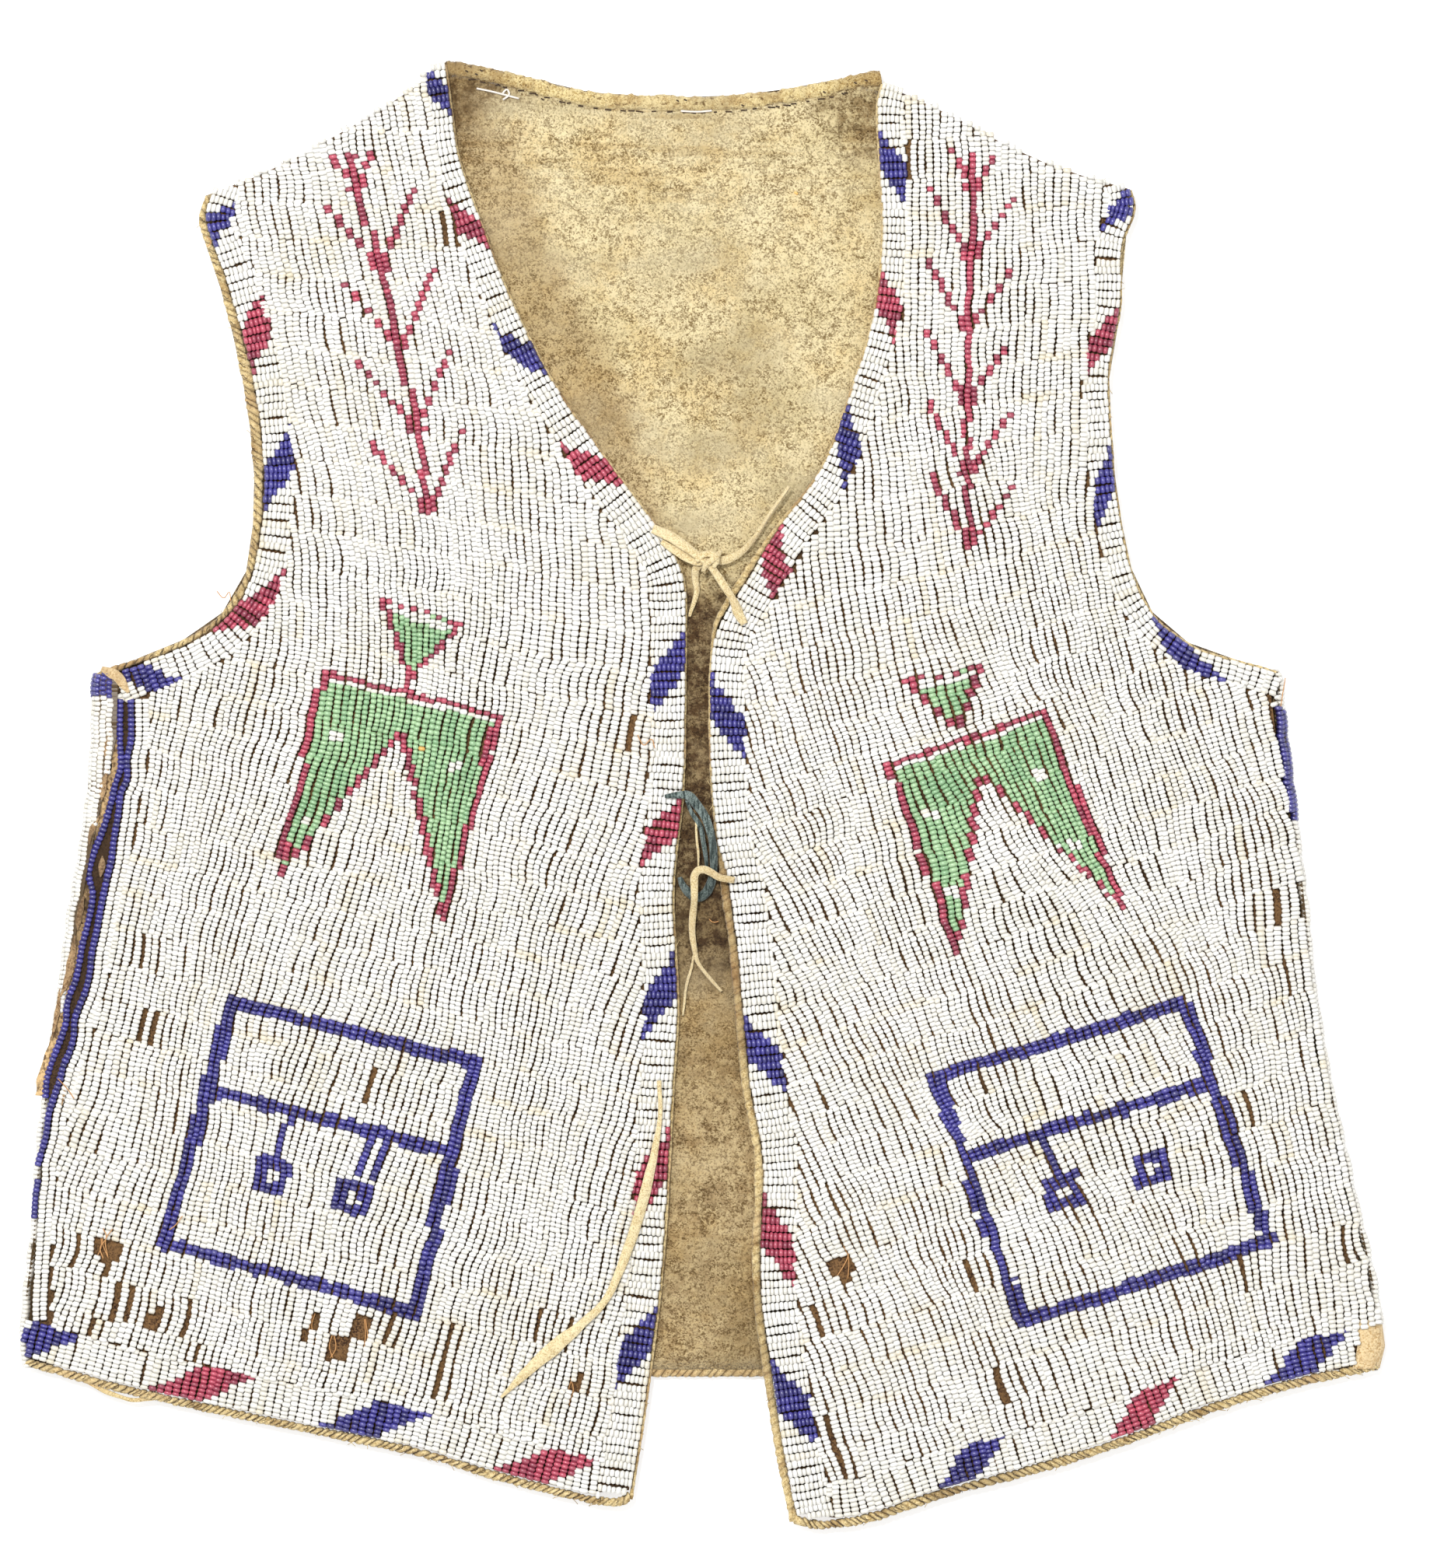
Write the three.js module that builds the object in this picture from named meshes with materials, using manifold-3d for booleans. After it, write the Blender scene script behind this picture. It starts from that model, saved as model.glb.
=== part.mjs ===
// A child's fully beaded hide vest, laid flat on its back. Millimetres, +Z up off the surface
// it lies on, +Y towards the neck, +X towards the wearer's left.
import * as THREE from 'three';
import { mergeVertices } from 'three/addons/utils/BufferGeometryUtils.js';
import Module from 'manifold-3d';

// Driving dimensions
const HIDE = 1.5; // brain-tanned hide
const BEADS = 1.9; // one layer of seed beads, as high as a bead is wide
const GAP = 0.3; // between pieces that touch
const LANE = 9.6; // width of one lane of a beaded field
const GROOVE = 1.0; // how far a lane falls away to the stitches between lanes
const ROLL_IN = 2.2; // how far the beaded edge of a front rounds inwards
const ROLL_DOWN = 1.7; // and downwards
const FOLD_LEAST = 0.6; // what the back's fold always shows beyond a side seam
const SEAM_GAP = 0.8; // at a side seam, whose thread shows

// Levels of the layers, from the surface up
const BACK_HIDE_AT = BEADS + GAP;
const FRONT_HIDE_AT = BACK_HIDE_AT + HIDE + GAP;
const FRONT_BEADS_AT = FRONT_HIDE_AT + HIDE + GAP;
const TOP_AT = FRONT_BEADS_AT + BEADS;
const FOLD = TOP_AT / 2; // outer radius of the folded side

// Mesh steps
const CELL = 20; // of a plain hide panel
const COLUMN = 26; // of a beaded field, along its lanes
const EDGE_STEP = 12; // along an outline
const LONG_STEP = 16; // along a side or the back's straight hem

// Soft swells of the fronts over the back: centre x, y, half widths across and along, height
const SWELLS = [
  [-84, 92, 38, 52, 1.5],
  [-92, -10, 46, 55, 1.9],
  [-98, -112, 52, 42, 1.6],
  [-40, -66, 26, 70, 0.7],
  [82, 98, 36, 52, 1.4],
  [88, -4, 46, 58, 2.0],
  [104, -108, 50, 44, 1.7],
  [42, -70, 26, 66, 0.8],
];

// Outlines, as x, y. Each edge runs on from the one before it, up the opening first.
const RIGHT = {
  side: -1,
  opening: [
    [-17.8, -181.5], [-13.6, -154], [-9.6, -121], [-6.9, -75], [-5.7, -55], [-6.9, -24], [-4.5, 0],
    [-3.9, 30], [-4.3, 55.5], [-6.4, 61], [-12.4, 70.7], [-19.5, 80.1], [-37.4, 105.5], [-50.6, 131.8],
    [-57.1, 149.2], [-62.2, 164], [-64, 176], [-65.6, 188],
  ],
  shoulder: [[-65.6, 188], [-69, 187], [-76, 180.4], [-90.9, 171.5], [-110.7, 160.7], [-127.9, 154.2]],
  armhole: [
    [-127.9, 154.2], [-129.4, 148.5], [-124.2, 131], [-119.8, 114], [-116.6, 96], [-115.3, 76],
    [-118, 55.5], [-122.4, 48.2], [-127.4, 43.4], [-135, 39.2], [-156.6, 31],
  ],
  flank: [
    [-156.6, 31], [-157.8, 4.5], [-160.9, -18], [-164.5, -40], [-167.7, -64], [-170.9, -89],
    [-172.7, -115], [-175.6, -141], [-174.5, -147],
  ],
  hem: [
    [-174.5, -147], [-149.9, -153.9], [-119.3, -160.7], [-71.3, -170.9], [-51.5, -176.9],
    [-21.5, -183.2], [-17.8, -181.5],
  ],
  // y, and how far the back's fold reaches over the side: wide under the arm, nothing at the hem
  reach: [[31, 6.4], [14, 6.6], [2, 4.8], [-6, 3.2], [-41, 2.8], [-60, 1.2], [-80, 0], [-146.5, 0]],
  // how wide the binding and the lane beside it are along each edge, from the top down: y, width
  binding: {
    opening: [[188, 1.0]],
    armhole: [[154, 1.6], [131, 2.2], [96, 3.0], [70, 2.3], [45, 1.6]],
    hem: [[0, 2.2]],
  },
  border: {
    opening: [[188, 5.6], [165, 5.8], [140, 7.0], [100, 7.6], [75, 8.8], [50, 9.2], [0, 8.8]],
    armhole: [[154, 7.0], [131, 7.8], [60, 8.0]],
  },
  // how the lanes lie: lanes below the top one, height at mid x, slope down towards +X in degrees
  laneX: -85,
  lanes: [[0, 190, 0], [6, 132, 4], [11, 84, 9], [16, 36, 13], [22, -22, 14], [28, -80, 15], [37, -172, 13]],
};
const LEFT = {
  side: 1,
  opening: [
    [22.7, -187.3], [19.6, -172.7], [16.1, -151], [13.5, -132], [12.9, -119.5], [13.5, -94], [10.3, -75],
    [7.1, -40.5], [4.9, -24], [2.1, 4.3], [1.9, 32.7], [3.1, 44], [5, 48.2], [8.5, 54.3], [18.1, 68],
    [30.1, 83.5], [37.9, 103.5], [43.9, 123.7], [46.1, 144], [44.9, 178], [46.1, 183],
  ],
  shoulder: [[46.1, 183], [64.1, 174.8], [79.5, 166.5], [94.1, 160.4], [110.8, 155.6]],
  armhole: [
    [110.8, 155.6], [111.8, 151.2], [108.4, 140.5], [108.1, 126], [105, 108], [105.7, 92.3],
    [106.9, 78.3], [111.4, 56], [116.9, 45.9], [123.1, 40.7], [128.7, 37.3], [137.3, 34.9], [148.8, 31.6],
  ],
  flank: [
    [148.8, 31.6], [150.3, 19.3], [153.1, -3.7], [156.5, -35], [160.3, -64], [166.5, -94.7],
    [172.5, -121.3], [175.9, -142], [174.2, -148.2],
  ],
  hem: [
    [174.2, -148.2], [153.3, -152.6], [133.5, -158.4], [105.5, -168.8], [81.7, -176],
    [61.9, -181.2], [41.9, -187.7], [28.7, -189], [22.7, -187.3],
  ],
  reach: [[31.6, 0], [-148.2, 0]],
  binding: {
    opening: [[183, 1.0], [68, 1.2], [55, 2.2], [44, 1.2], [-2, 1.2], [-20, 2.2]],
    armhole: [[155, 0.9]],
    hem: [[0, 2.4]],
  },
  border: {
    opening: [[183, 6.8], [120, 7.0], [95, 7.6], [70, 8.0], [50, 9.2]],
    armhole: [[155, 6.6], [90, 6.4], [45, 6.2]],
  },
  laneX: 95,
  lanes: [[0, 190, -2], [6, 132, -5], [11, 84, -10], [16, 36, -17], [22, -22, -18], [28, -80, -18], [37, -172, -15]],
};
const BACK_NECK = [
  [-65.6, 189], [-60.5, 188.4], [-46.1, 185.2], [-28.9, 181], [-11.7, 180], [6.7, 180],
  [29.7, 183.2], [40, 185.7], [46.1, 186.4],
];
const BACK_HEM = [[-174.5, -147], [-90, -149], [0, -150], [90, -149], [174.2, -148.2]];
const BINDING_HIGH = 2.4; // a strip folded over the hide's edge
const BINDING_FALL = 0.5; // how far its sides round down
// name, line, side, width, height
const BACK_BINDINGS = [
  ['back_neck_binding', BACK_NECK, 1, 3.0, BINDING_HIGH],
  ['back_hem_binding', BACK_HEM, -1, 1.6, HIDE],
];

// Thongs: width, then their routes as x, y and how far the middle of the thong is above the beads
const THONGS = [
  ['upper_tie_right', 0xe8d6a8, 2.2, [[-14.5, 67.5, 0.2], [-8, 65.5, 0.6], [-2, 62, 0.9], [2, 59.5, 1.0],
    [5, 54, 0.6], [8, 48.5, 0.3], [11, 44.7, 0.3], [15.6, 41.5, 0.2]]],
  ['upper_tie_left', 0xe8d6a8, 1.8, [[21, 77.5, 0.2], [17, 71.5, -1.2], [13, 65.5, -2.6], [9.5, 61.8, -1.6],
    [5.5, 60.2, -1.4], [2, 60.6, -1.5], [-1.4, 59, -1.6], [-2.3, 55, -3.0], [-1.6, 51, -3.7],
    [-2.2, 47.4, -3.7], [-2.4, 45.6, -3.7]]],
  ['middle_tie_grey', 0x70868c, 2.2, [[-11.5, -1.2, 0.3], [-8, 0, 0.5], [-4, -0.4, 0.4], [-0.2, -3.6, -0.8],
    [2.6, -10, -0.6], [3.7, -15.5, -0.6], [3.4, -20, -1.7], [2, -24, -3.0], [-0.6, -26.4, -3.5],
    [-3.4, -25.2, -3.2], [-5.2, -21.6, -2.4]]],
  ['middle_tie_pale', 0xe8d6a8, 1.8, [[10, -21.8, 0.2], [5.6, -20.2, 0.7], [1.6, -19.2, 0.9], [-1.0, -20.2, 0.6],
    [-2.2, -24, 0.2], [-2.4, -28, -0.4], [-2.3, -34, -3.2], [-2.1, -41, -3.6], [0.4, -45.6, -3.6],
    [4.4, -49.6, -3.6]]],
  ['lower_thong', 0xe8d6a8, 2.4, [[-11, -73.5, 0.2], [-10.7, -82, 0.2], [-12, -91, 0.2], [-14, -100, 0.2],
    [-16.4, -109, 0.2], [-20, -119.5, 0.2], [-24.8, -130, 0.2], [-31.4, -136.6, 0.2], [-39, -143, 0.2],
    [-45, -148.4, 0.2], [-51.6, -155, 0.2]]],
];

const wasm = await Module();
wasm.setup();

// Walls, from a grid of outer points and one of inner points

function wall(outer, inner) {
  const across = outer[0].length;
  const points = [...outer.flat(), ...inner.flat()];
  const half = outer.length * across;
  const index = [];
  const quad = (a, b, c, d) => index.push(a, b, c, a, c, d);
  for (let i = 0; i + 1 < outer.length; i += 1) {
    for (let j = 0; j + 1 < across; j += 1) {
      const a = i * across + j;
      quad(a, a + 1, a + across + 1, a + across);
      quad(half + a, half + a + across, half + a + across + 1, half + a + 1);
    }
    for (const [j, flip] of [[0, false], [across - 1, true]]) {
      const a = i * across + j;
      const corners = [a, a + across, half + a + across, half + a];
      quad(...(flip ? corners.reverse() : corners));
    }
  }
  for (let j = 0; j + 1 < across; j += 1) {
    const last = (outer.length - 1) * across + j;
    quad(j + 1, j, half + j, half + j + 1);
    quad(last, last + 1, half + last + 1, half + last);
  }
  const geometry = new THREE.BufferGeometry().setFromPoints(points);
  geometry.setIndex(index);
  return facingOut(geometry);
}

function facingOut(geometry) {
  const p = geometry.attributes.position;
  const index = geometry.index.array;
  const [a, b, c] = [new THREE.Vector3(), new THREE.Vector3(), new THREE.Vector3()];
  let volume = 0;
  for (let i = 0; i < index.length; i += 3) {
    a.fromBufferAttribute(p, index[i]);
    b.fromBufferAttribute(p, index[i + 1]);
    c.fromBufferAttribute(p, index[i + 2]);
    volume += a.dot(b.cross(c));
  }
  if (volume < 0) geometry.setIndex([...index].reverse());
  return geometry;
}

function solid(geometry) {
  const bare = geometry.clone();
  bare.deleteAttribute('normal');
  bare.deleteAttribute('uv');
  const merged = mergeVertices(bare, 1e-3);
  return new wasm.Manifold(new wasm.Mesh({
    numProp: 3,
    vertProperties: new Float32Array(merged.attributes.position.array),
    triVerts: new Uint32Array(merged.index.array),
  }));
}

// The largest body of a cut solid, as a geometry
function shaped(manifold) {
  const bodies = manifold.decompose();
  const body = bodies.reduce((best, one) => (one.volume() > best.volume() ? one : best));
  const mesh = body.getMesh();
  const geometry = new THREE.BufferGeometry();
  geometry.setAttribute('position', new THREE.BufferAttribute(mesh.vertProperties, 3));
  geometry.setIndex(new THREE.BufferAttribute(mesh.triVerts, 1));
  return geometry;
}

// Outlines

function edgeLine(points, step = EDGE_STEP) {
  const curve = new THREE.CatmullRomCurve3(points.map(([x, y]) => new THREE.Vector3(x, y, 0)));
  return curve.getSpacedPoints(Math.max(2, Math.round(curve.getLength() / step)));
}

// What a table of y and value gives at a height, its rows from the top down
function tableAt(rows, y) {
  if (y >= rows[0][0]) return rows[0][1];
  for (let i = 1; i < rows.length; i += 1) {
    const [[yTop, top], [yLow, low]] = [rows[i - 1], rows[i]];
    if (y >= yLow) return low + (top - low) * (y - yLow) / (yTop - yLow);
  }
  return rows[rows.length - 1][1];
}

const offsetAt = (offset, p) => (typeof offset === 'function' ? offset(p) : offset);
const between = (from, to, share) => (p) => (1 - share) * offsetAt(from, p) + share * offsetAt(to, p);

// Points along a line, moved sideways, by one distance or by a function of each point. The inside of a front is to the right of its edges on
// the left front, and to the left of them on the right front.
function moved(line, side, offsets) {
  return line.map((p, i) => {
    const offset = offsetAt(offsets, p);
    const before = line[Math.max(0, i - 1)];
    const after = line[Math.min(line.length - 1, i + 1)];
    const along = after.clone().sub(before).normalize();
    return new THREE.Vector3(p.x + side * along.y * offset, p.y - side * along.x * offset, 0);
  });
}

// A line run straight on past both ends
function runOn(line, by) {
  const on = (end, before) => end.clone().add(end.clone().sub(before).setLength(by));
  return [on(line[0], line[1]), ...line, on(line[line.length - 1], line[line.length - 2])];
}

// How far in from the side each layer of a front starts, beside the back's fold
const beadsInset = (reach) => Math.max(reach, FOLD_LEAST) + SEAM_GAP;
const hideInset = (reach) => {
  const shown = Math.max(reach, FOLD_LEAST);
  return (shown < FOLD ? FOLD - (FOLD - BEADS) * (1 - shown / FOLD) : shown) + SEAM_GAP;
};

function seamLine(front, inset) {
  return edgeLine(front.flank, LONG_STEP).map(
    (p) => new THREE.Vector3(p.x - front.side * inset(tableAt(front.reach, p.y)), p.y, 0),
  );
}

function frontRing(front, inset) {
  const edges = [front.opening, front.shoulder, front.armhole].map((edge) => edgeLine(edge));
  const upTo = edges.map((edge) => edge.slice(0, -1)).flat();
  return [...upTo, ...seamLine(front, inset), ...edgeLine(front.hem).slice(1, -1)];
}

function backRing(inset) {
  const side = (front) => seamLine(front, () => inset);
  return [
    ...edgeLine(BACK_NECK).slice(0, -1),
    ...edgeLine(LEFT.shoulder).slice(1, -1),
    ...edgeLine(LEFT.armhole).slice(0, -1),
    ...side(LEFT),
    ...edgeLine(BACK_HEM, LONG_STEP).reverse().slice(1, -1),
    ...side(RIGHT).reverse(),
    ...edgeLine(RIGHT.armhole).reverse().slice(1),
    ...edgeLine(RIGHT.shoulder).reverse().slice(1, -1),
  ];
}

function prism(ring, low, high) {
  const shape = new THREE.Shape(ring.map((p) => new THREE.Vector2(p.x, p.y)));
  const geometry = new THREE.ExtrudeGeometry(shape, { depth: high - low, bevelEnabled: false });
  geometry.translate(0, 0, low);
  return solid(geometry);
}

// Surfaces

function swell(x, y) {
  return SWELLS.reduce((sum, [cx, cy, wide, long, high]) => (
    sum + high * Math.exp(-(((x - cx) / wide) ** 2) - (((y - cy) / long) ** 2))
  ), 0);
}

const above = (x, y, level) => new THREE.Vector3(x, y, level + swell(x, y));

// A slab that follows the swell, over a grid of places, between two levels
function slab(places, low, high) {
  return solid(wall(
    places.map((row) => row.map(([x, y, drop]) => above(x, y, high - drop))),
    places.map((row) => row.map(([x, y]) => above(x, y, low))),
  ));
}

function bounds(ring) {
  const box = new THREE.Box3().setFromPoints(ring).expandByScalar(LANE);
  return [box.min.x, box.max.x, box.min.y, box.max.y];
}

function steps(from, to, size) {
  const count = Math.ceil((to - from) / size);
  return Array.from({ length: count + 1 }, (_, i) => from + (to - from) * i / count);
}

function plainPlaces(ring) {
  const [x0, x1, y0, y1] = bounds(ring);
  return steps(y0, y1, CELL).map((y) => steps(x0, x1, CELL).map((x) => [x, y, 0]));
}

// The height of a lane's line at x, for any number of lanes below the top one
function laneLine(front, lane, x) {
  const rows = front.lanes;
  let i = 1;
  while (i < rows.length - 1 && lane > rows[i][0]) i += 1;
  const [[a, yA, slopeA], [b, yB, slopeB]] = [rows[i - 1], rows[i]];
  const share = (lane - a) / (b - a);
  const slope = THREE.MathUtils.degToRad(slopeA + (slopeB - slopeA) * share);
  return yA + (yB - yA) * share - Math.tan(slope) * (x - front.laneX);
}

// Rows for the groove and the two shoulders of each lane
function lanePlaces(front, ring) {
  const [x0, x1] = bounds(ring);
  const xs = steps(x0, x1, COLUMN);
  const lanes = front.lanes[front.lanes.length - 1][0];
  const rows = [];
  for (let lane = -3; lane <= lanes + 3; lane += 1) {
    for (const [share, drop] of [[0, GROOVE], [0.24, 0], [0.76, 0]]) {
      rows.push(xs.map((x) => [x, laneLine(front, lane + share, x), drop]));
    }
  }
  return rows;
}

// Sections of a band: share of its width, share of its fall
const STRIP = [[0, 1], [0.5, 0], [1, 1]];
const BEADED = [[0, 1], [0.2, 0.1], [0.8, 0.1], [1, 1]];

// A band along an edge: offsets inwards, levels, and how far its two sides fall away
function band(line, side, from, to, low, high, fall, profile = STRIP) {
  const at = profile.map(([share]) => moved(line, side, between(from, to, share)));
  const drop = profile.map(([, share]) => share * fall);
  const outer = line.map((_, i) => at.map((row, j) => above(row[i].x, row[i].y, high - drop[j])));
  const inner = line.map((_, i) => at.map((row) => above(row[i].x, row[i].y, low)));
  return wall(outer, inner);
}

// What a beaded edge loses as it rounds over: a wedge above it
function roundedOff(line, side) {
  const shares = [-1, 0, 0.35, 0.7, 1];
  const at = shares.map((share) => moved(line, side, share * ROLL_IN));
  const fall = shares.map((share) => ROLL_DOWN * (1 - Math.max(0, share)) ** 2);
  const grid = (level) => line.map((_, i) => at.map((row, j) => above(row[i].x, row[i].y, level(j))));
  return solid(wall(grid(() => TOP_AT + 5), grid((j) => TOP_AT - fall[j])));
}

// The back's wall folded up over one side, towards the side seam
function foldedSide(front, radius, thick, showing) {
  const overlap = 2; // into the flat part
  const turns = 4; // steps round the fold
  const line = edgeLine(front.flank, LONG_STEP);
  const section = (edge, r) => {
    const reach = showing(tableAt(front.reach, edge.y));
    const centre = edge.x - front.side * FOLD;
    const turn = Math.acos(1 - Math.min(reach, FOLD) / FOLD);
    const points = [new THREE.Vector3(centre - front.side * overlap, edge.y, FOLD - r)];
    for (let i = 0; i <= turns; i += 1) {
      const angle = -Math.PI / 2 + (Math.PI / 2 + turn) * (i / turns);
      points.push(new THREE.Vector3(
        centre + front.side * r * Math.cos(angle), edge.y, FOLD + r * Math.sin(angle),
      ));
    }
    const limb = Math.max(0, reach - FOLD) + 0.01;
    const last = points[points.length - 1];
    points.push(new THREE.Vector3(
      last.x - front.side * limb * Math.sin(turn), edge.y, last.z + limb * Math.cos(turn),
    ));
    return points;
  };
  return solid(wall(line.map((p) => section(p, radius)), line.map((p) => section(p, radius - thick))));
}

// Pieces

const vest = new THREE.Group();

function add(name, geometry, color, roughness) {
  const material = new THREE.MeshStandardMaterial({ color, roughness, metalness: 0 });
  const mesh = new THREE.Mesh(geometry, material);
  mesh.name = name;
  vest.add(mesh);
}

const addHide = (name, geometry) => add(name, geometry, 0xc8aa6e, 0.95);
const addBeads = (name, geometry) => add(name, geometry, 0xf2efe4, 0.35);

function buildBack() {
  const inner = FOLD + 1; // the flat part starts under the folds
  let hide = prism(backRing(inner), BACK_HIDE_AT, BACK_HIDE_AT + HIDE);
  let beads = prism(backRing(inner), 0, BEADS);
  for (const front of [RIGHT, LEFT]) {
    // the hide stays under the front until the fold is wide enough to lie beside it
    hide = hide.add(foldedSide(front, FOLD - BEADS - GAP, HIDE, (reach) => (reach > FOLD ? reach : 0)));
    beads = beads.add(foldedSide(front, FOLD, BEADS, (reach) => Math.max(reach, FOLD_LEAST)));
  }
  // the back's own bindings lie between the folds, and under the fronts
  let free = prism(backRing(inner + 3), 0, TOP_AT);
  for (const front of [RIGHT, LEFT]) {
    free = free.subtract(prism(frontRing(front, hideInset), FRONT_HIDE_AT - GAP / 2, TOP_AT + 1));
  }
  for (const [name, points, side, width, high] of BACK_BINDINGS) {
    const line = edgeLine(points, name === 'back_hem_binding' ? LONG_STEP : EDGE_STEP);
    hide = hide.subtract(solid(band(line, side, -1, width + GAP, 0, TOP_AT, 0)));
    const strip = solid(band(line, side, 0, width, BACK_HIDE_AT, BACK_HIDE_AT + high, BINDING_FALL));
    addHide(name, shaped(strip.intersect(free)));
  }
  addHide('back_hide', shaped(hide));
  addBeads('back_beadwork', shaped(beads));
}

function buildFront(front, name) {
  const ring = frontRing(front, beadsInset);
  const outline = prism(ring, 0, TOP_AT + 6);
  const hideOutline = prism(frontRing(front, hideInset), 0, TOP_AT + 6);
  const edges = Object.keys(front.binding);
  const lines = Object.fromEntries(edges.map((edge) => [edge, edgeLine(front[edge])]));
  const rounded = [edgeLine(front.shoulder), seamLine(front, beadsInset)];
  const wedges = rounded.map((line) => roundedOff(line, front.side));
  const bindingTo = (edge) => (p) => tableAt(front.binding[edge], p.y);
  const laneFrom = (edge) => (p) => bindingTo(edge)(p) + GAP;
  const laneTo = (edge) => (p) => laneFrom(edge)(p) + tableAt(front.border[edge], p.y);
  // A piece without the room that an edge's binding and lane take
  const clearOf = (piece, edge, width) => (
    piece.subtract(solid(band(
      runOn(lines[edge], 3), front.side, -3, (p) => width(p) + GAP, -9, TOP_AT + 9, 0,
    )))
  );
  const strip = (edge, ...rest) => solid(band(lines[edge], front.side, ...rest));
  let hide = slab(plainPlaces(ring), FRONT_HIDE_AT, FRONT_HIDE_AT + HIDE).intersect(hideOutline);
  let field = slab(lanePlaces(front, ring), FRONT_HIDE_AT, TOP_AT)
    .intersect(outline)
    .subtract(slab(plainPlaces(ring), -9, FRONT_BEADS_AT));
  for (const edge of edges) {
    const bound = bindingTo(edge);
    hide = clearOf(hide, edge, bound);
    let binding = strip(edge, 0, bound, FRONT_HIDE_AT, FRONT_HIDE_AT + BINDING_HIGH, BINDING_FALL)
      .intersect(hideOutline);
    for (const other of edges.slice(0, edges.indexOf(edge))) binding = clearOf(binding, other, bindingTo(other));
    addHide(`${name}_${edge}_binding`, shaped(binding));
    if (edge === 'hem') {
      field = clearOf(field, edge, bound);
    } else {
      field = clearOf(field, edge, laneTo(edge));
      let lane = strip(edge, laneFrom(edge), laneTo(edge), FRONT_BEADS_AT, TOP_AT, GROOVE, BEADED)
        .intersect(outline);
      for (const wedge of wedges) lane = lane.subtract(wedge);
      addBeads(`${name}_${edge}_lane`, shaped(clearOf(lane, 'hem', bindingTo('hem'))));
    }
  }
  for (const wedge of wedges) field = field.subtract(wedge);
  addHide(`${name}_front_hide`, shaped(hide));
  addBeads(`${name}_front_beadwork`, shaped(field));
}

function thong(width, route) {
  const points = route.map(([x, y, up]) => above(x, y, TOP_AT + width / 2 + up));
  const curve = new THREE.CatmullRomCurve3(points);
  const section = new THREE.Shape();
  const sides = 8;
  for (let i = 0; i < sides; i += 1) {
    const angle = 2 * Math.PI * i / sides;
    const [x, y] = [width / 2 * Math.cos(angle), width / 2 * Math.sin(angle)];
    if (i) section.lineTo(x, y);
    else section.moveTo(x, y);
  }
  section.closePath();
  const along = Math.ceil(curve.getLength() / (width * 2));
  return new THREE.ExtrudeGeometry(section, { steps: along, extrudePath: curve, bevelEnabled: false });
}

buildBack();
buildFront(RIGHT, 'right');
buildFront(LEFT, 'left');
for (const [name, color, width, route] of THONGS) add(name, thong(width, route), color, 0.85);

export default vest;
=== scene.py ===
# A child's fully beaded hide vest, laid flat: lane-stitched seed beads on brain-tanned hide.
# Tables and lengths are in millimetres, like the maker's; meshes are in metres.
import math

import bmesh
import bpy
import numpy as np
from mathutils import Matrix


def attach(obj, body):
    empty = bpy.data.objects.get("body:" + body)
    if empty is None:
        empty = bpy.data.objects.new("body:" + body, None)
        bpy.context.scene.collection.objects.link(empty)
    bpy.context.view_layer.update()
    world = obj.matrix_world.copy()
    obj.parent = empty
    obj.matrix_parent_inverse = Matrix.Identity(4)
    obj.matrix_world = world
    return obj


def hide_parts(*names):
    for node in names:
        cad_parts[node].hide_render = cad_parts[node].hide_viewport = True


MM = 0.001
HIDE, LANE, GROOVE = 1.5, 9.6, 1.0
ROLL_IN, ROLL_DOWN = 2.2, 1.7
FOLD_LEAST, SEAM_GAP = 0.6, 0.8
BACK_HIDE_AT, FRONT_HIDE_AT, TOP_AT = 2.2, 4.0, 7.7
BED_AT = FRONT_HIDE_AT + HIDE + 0.05  # what the front's beads lie on
FOLD = TOP_AT / 2
ROW = 1.9  # pitch of the rows, a bead's width
BEAD = 1.2  # a bead's length along its thread
ROW_BEADS = 8
STATIONS = np.array([-0.47, 0.0, 0.47])  # where a bead starts, is widest and ends, in its own lengths
EDGE_CLEAR = 0.2  # from a binding to the border's beads
SEAM_CLEAR = 0.6  # from a side seam to the beads beside it
FIELD_CUTS = (400, 52, -58, -400)  # heights at which a front's field is cut into its three pieces
ONE_ROW = 3  # where beads are lost over less than this width, it is a single row
WHIPPING = {"opening": (2.4, 0.45), "armhole": (2.2, 0.8), "hem": (1.9, 1.0)}  # stitches' pitch and depth

SWELLS = [
    (-84, 92, 38, 52, 1.5), (-92, -10, 46, 55, 1.9), (-98, -112, 52, 42, 1.6), (-40, -66, 26, 70, 0.7),
    (82, 98, 36, 52, 1.4), (88, -4, 46, 58, 2.0), (104, -108, 50, 44, 1.7), (42, -70, 26, 66, 0.8),
]

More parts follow.
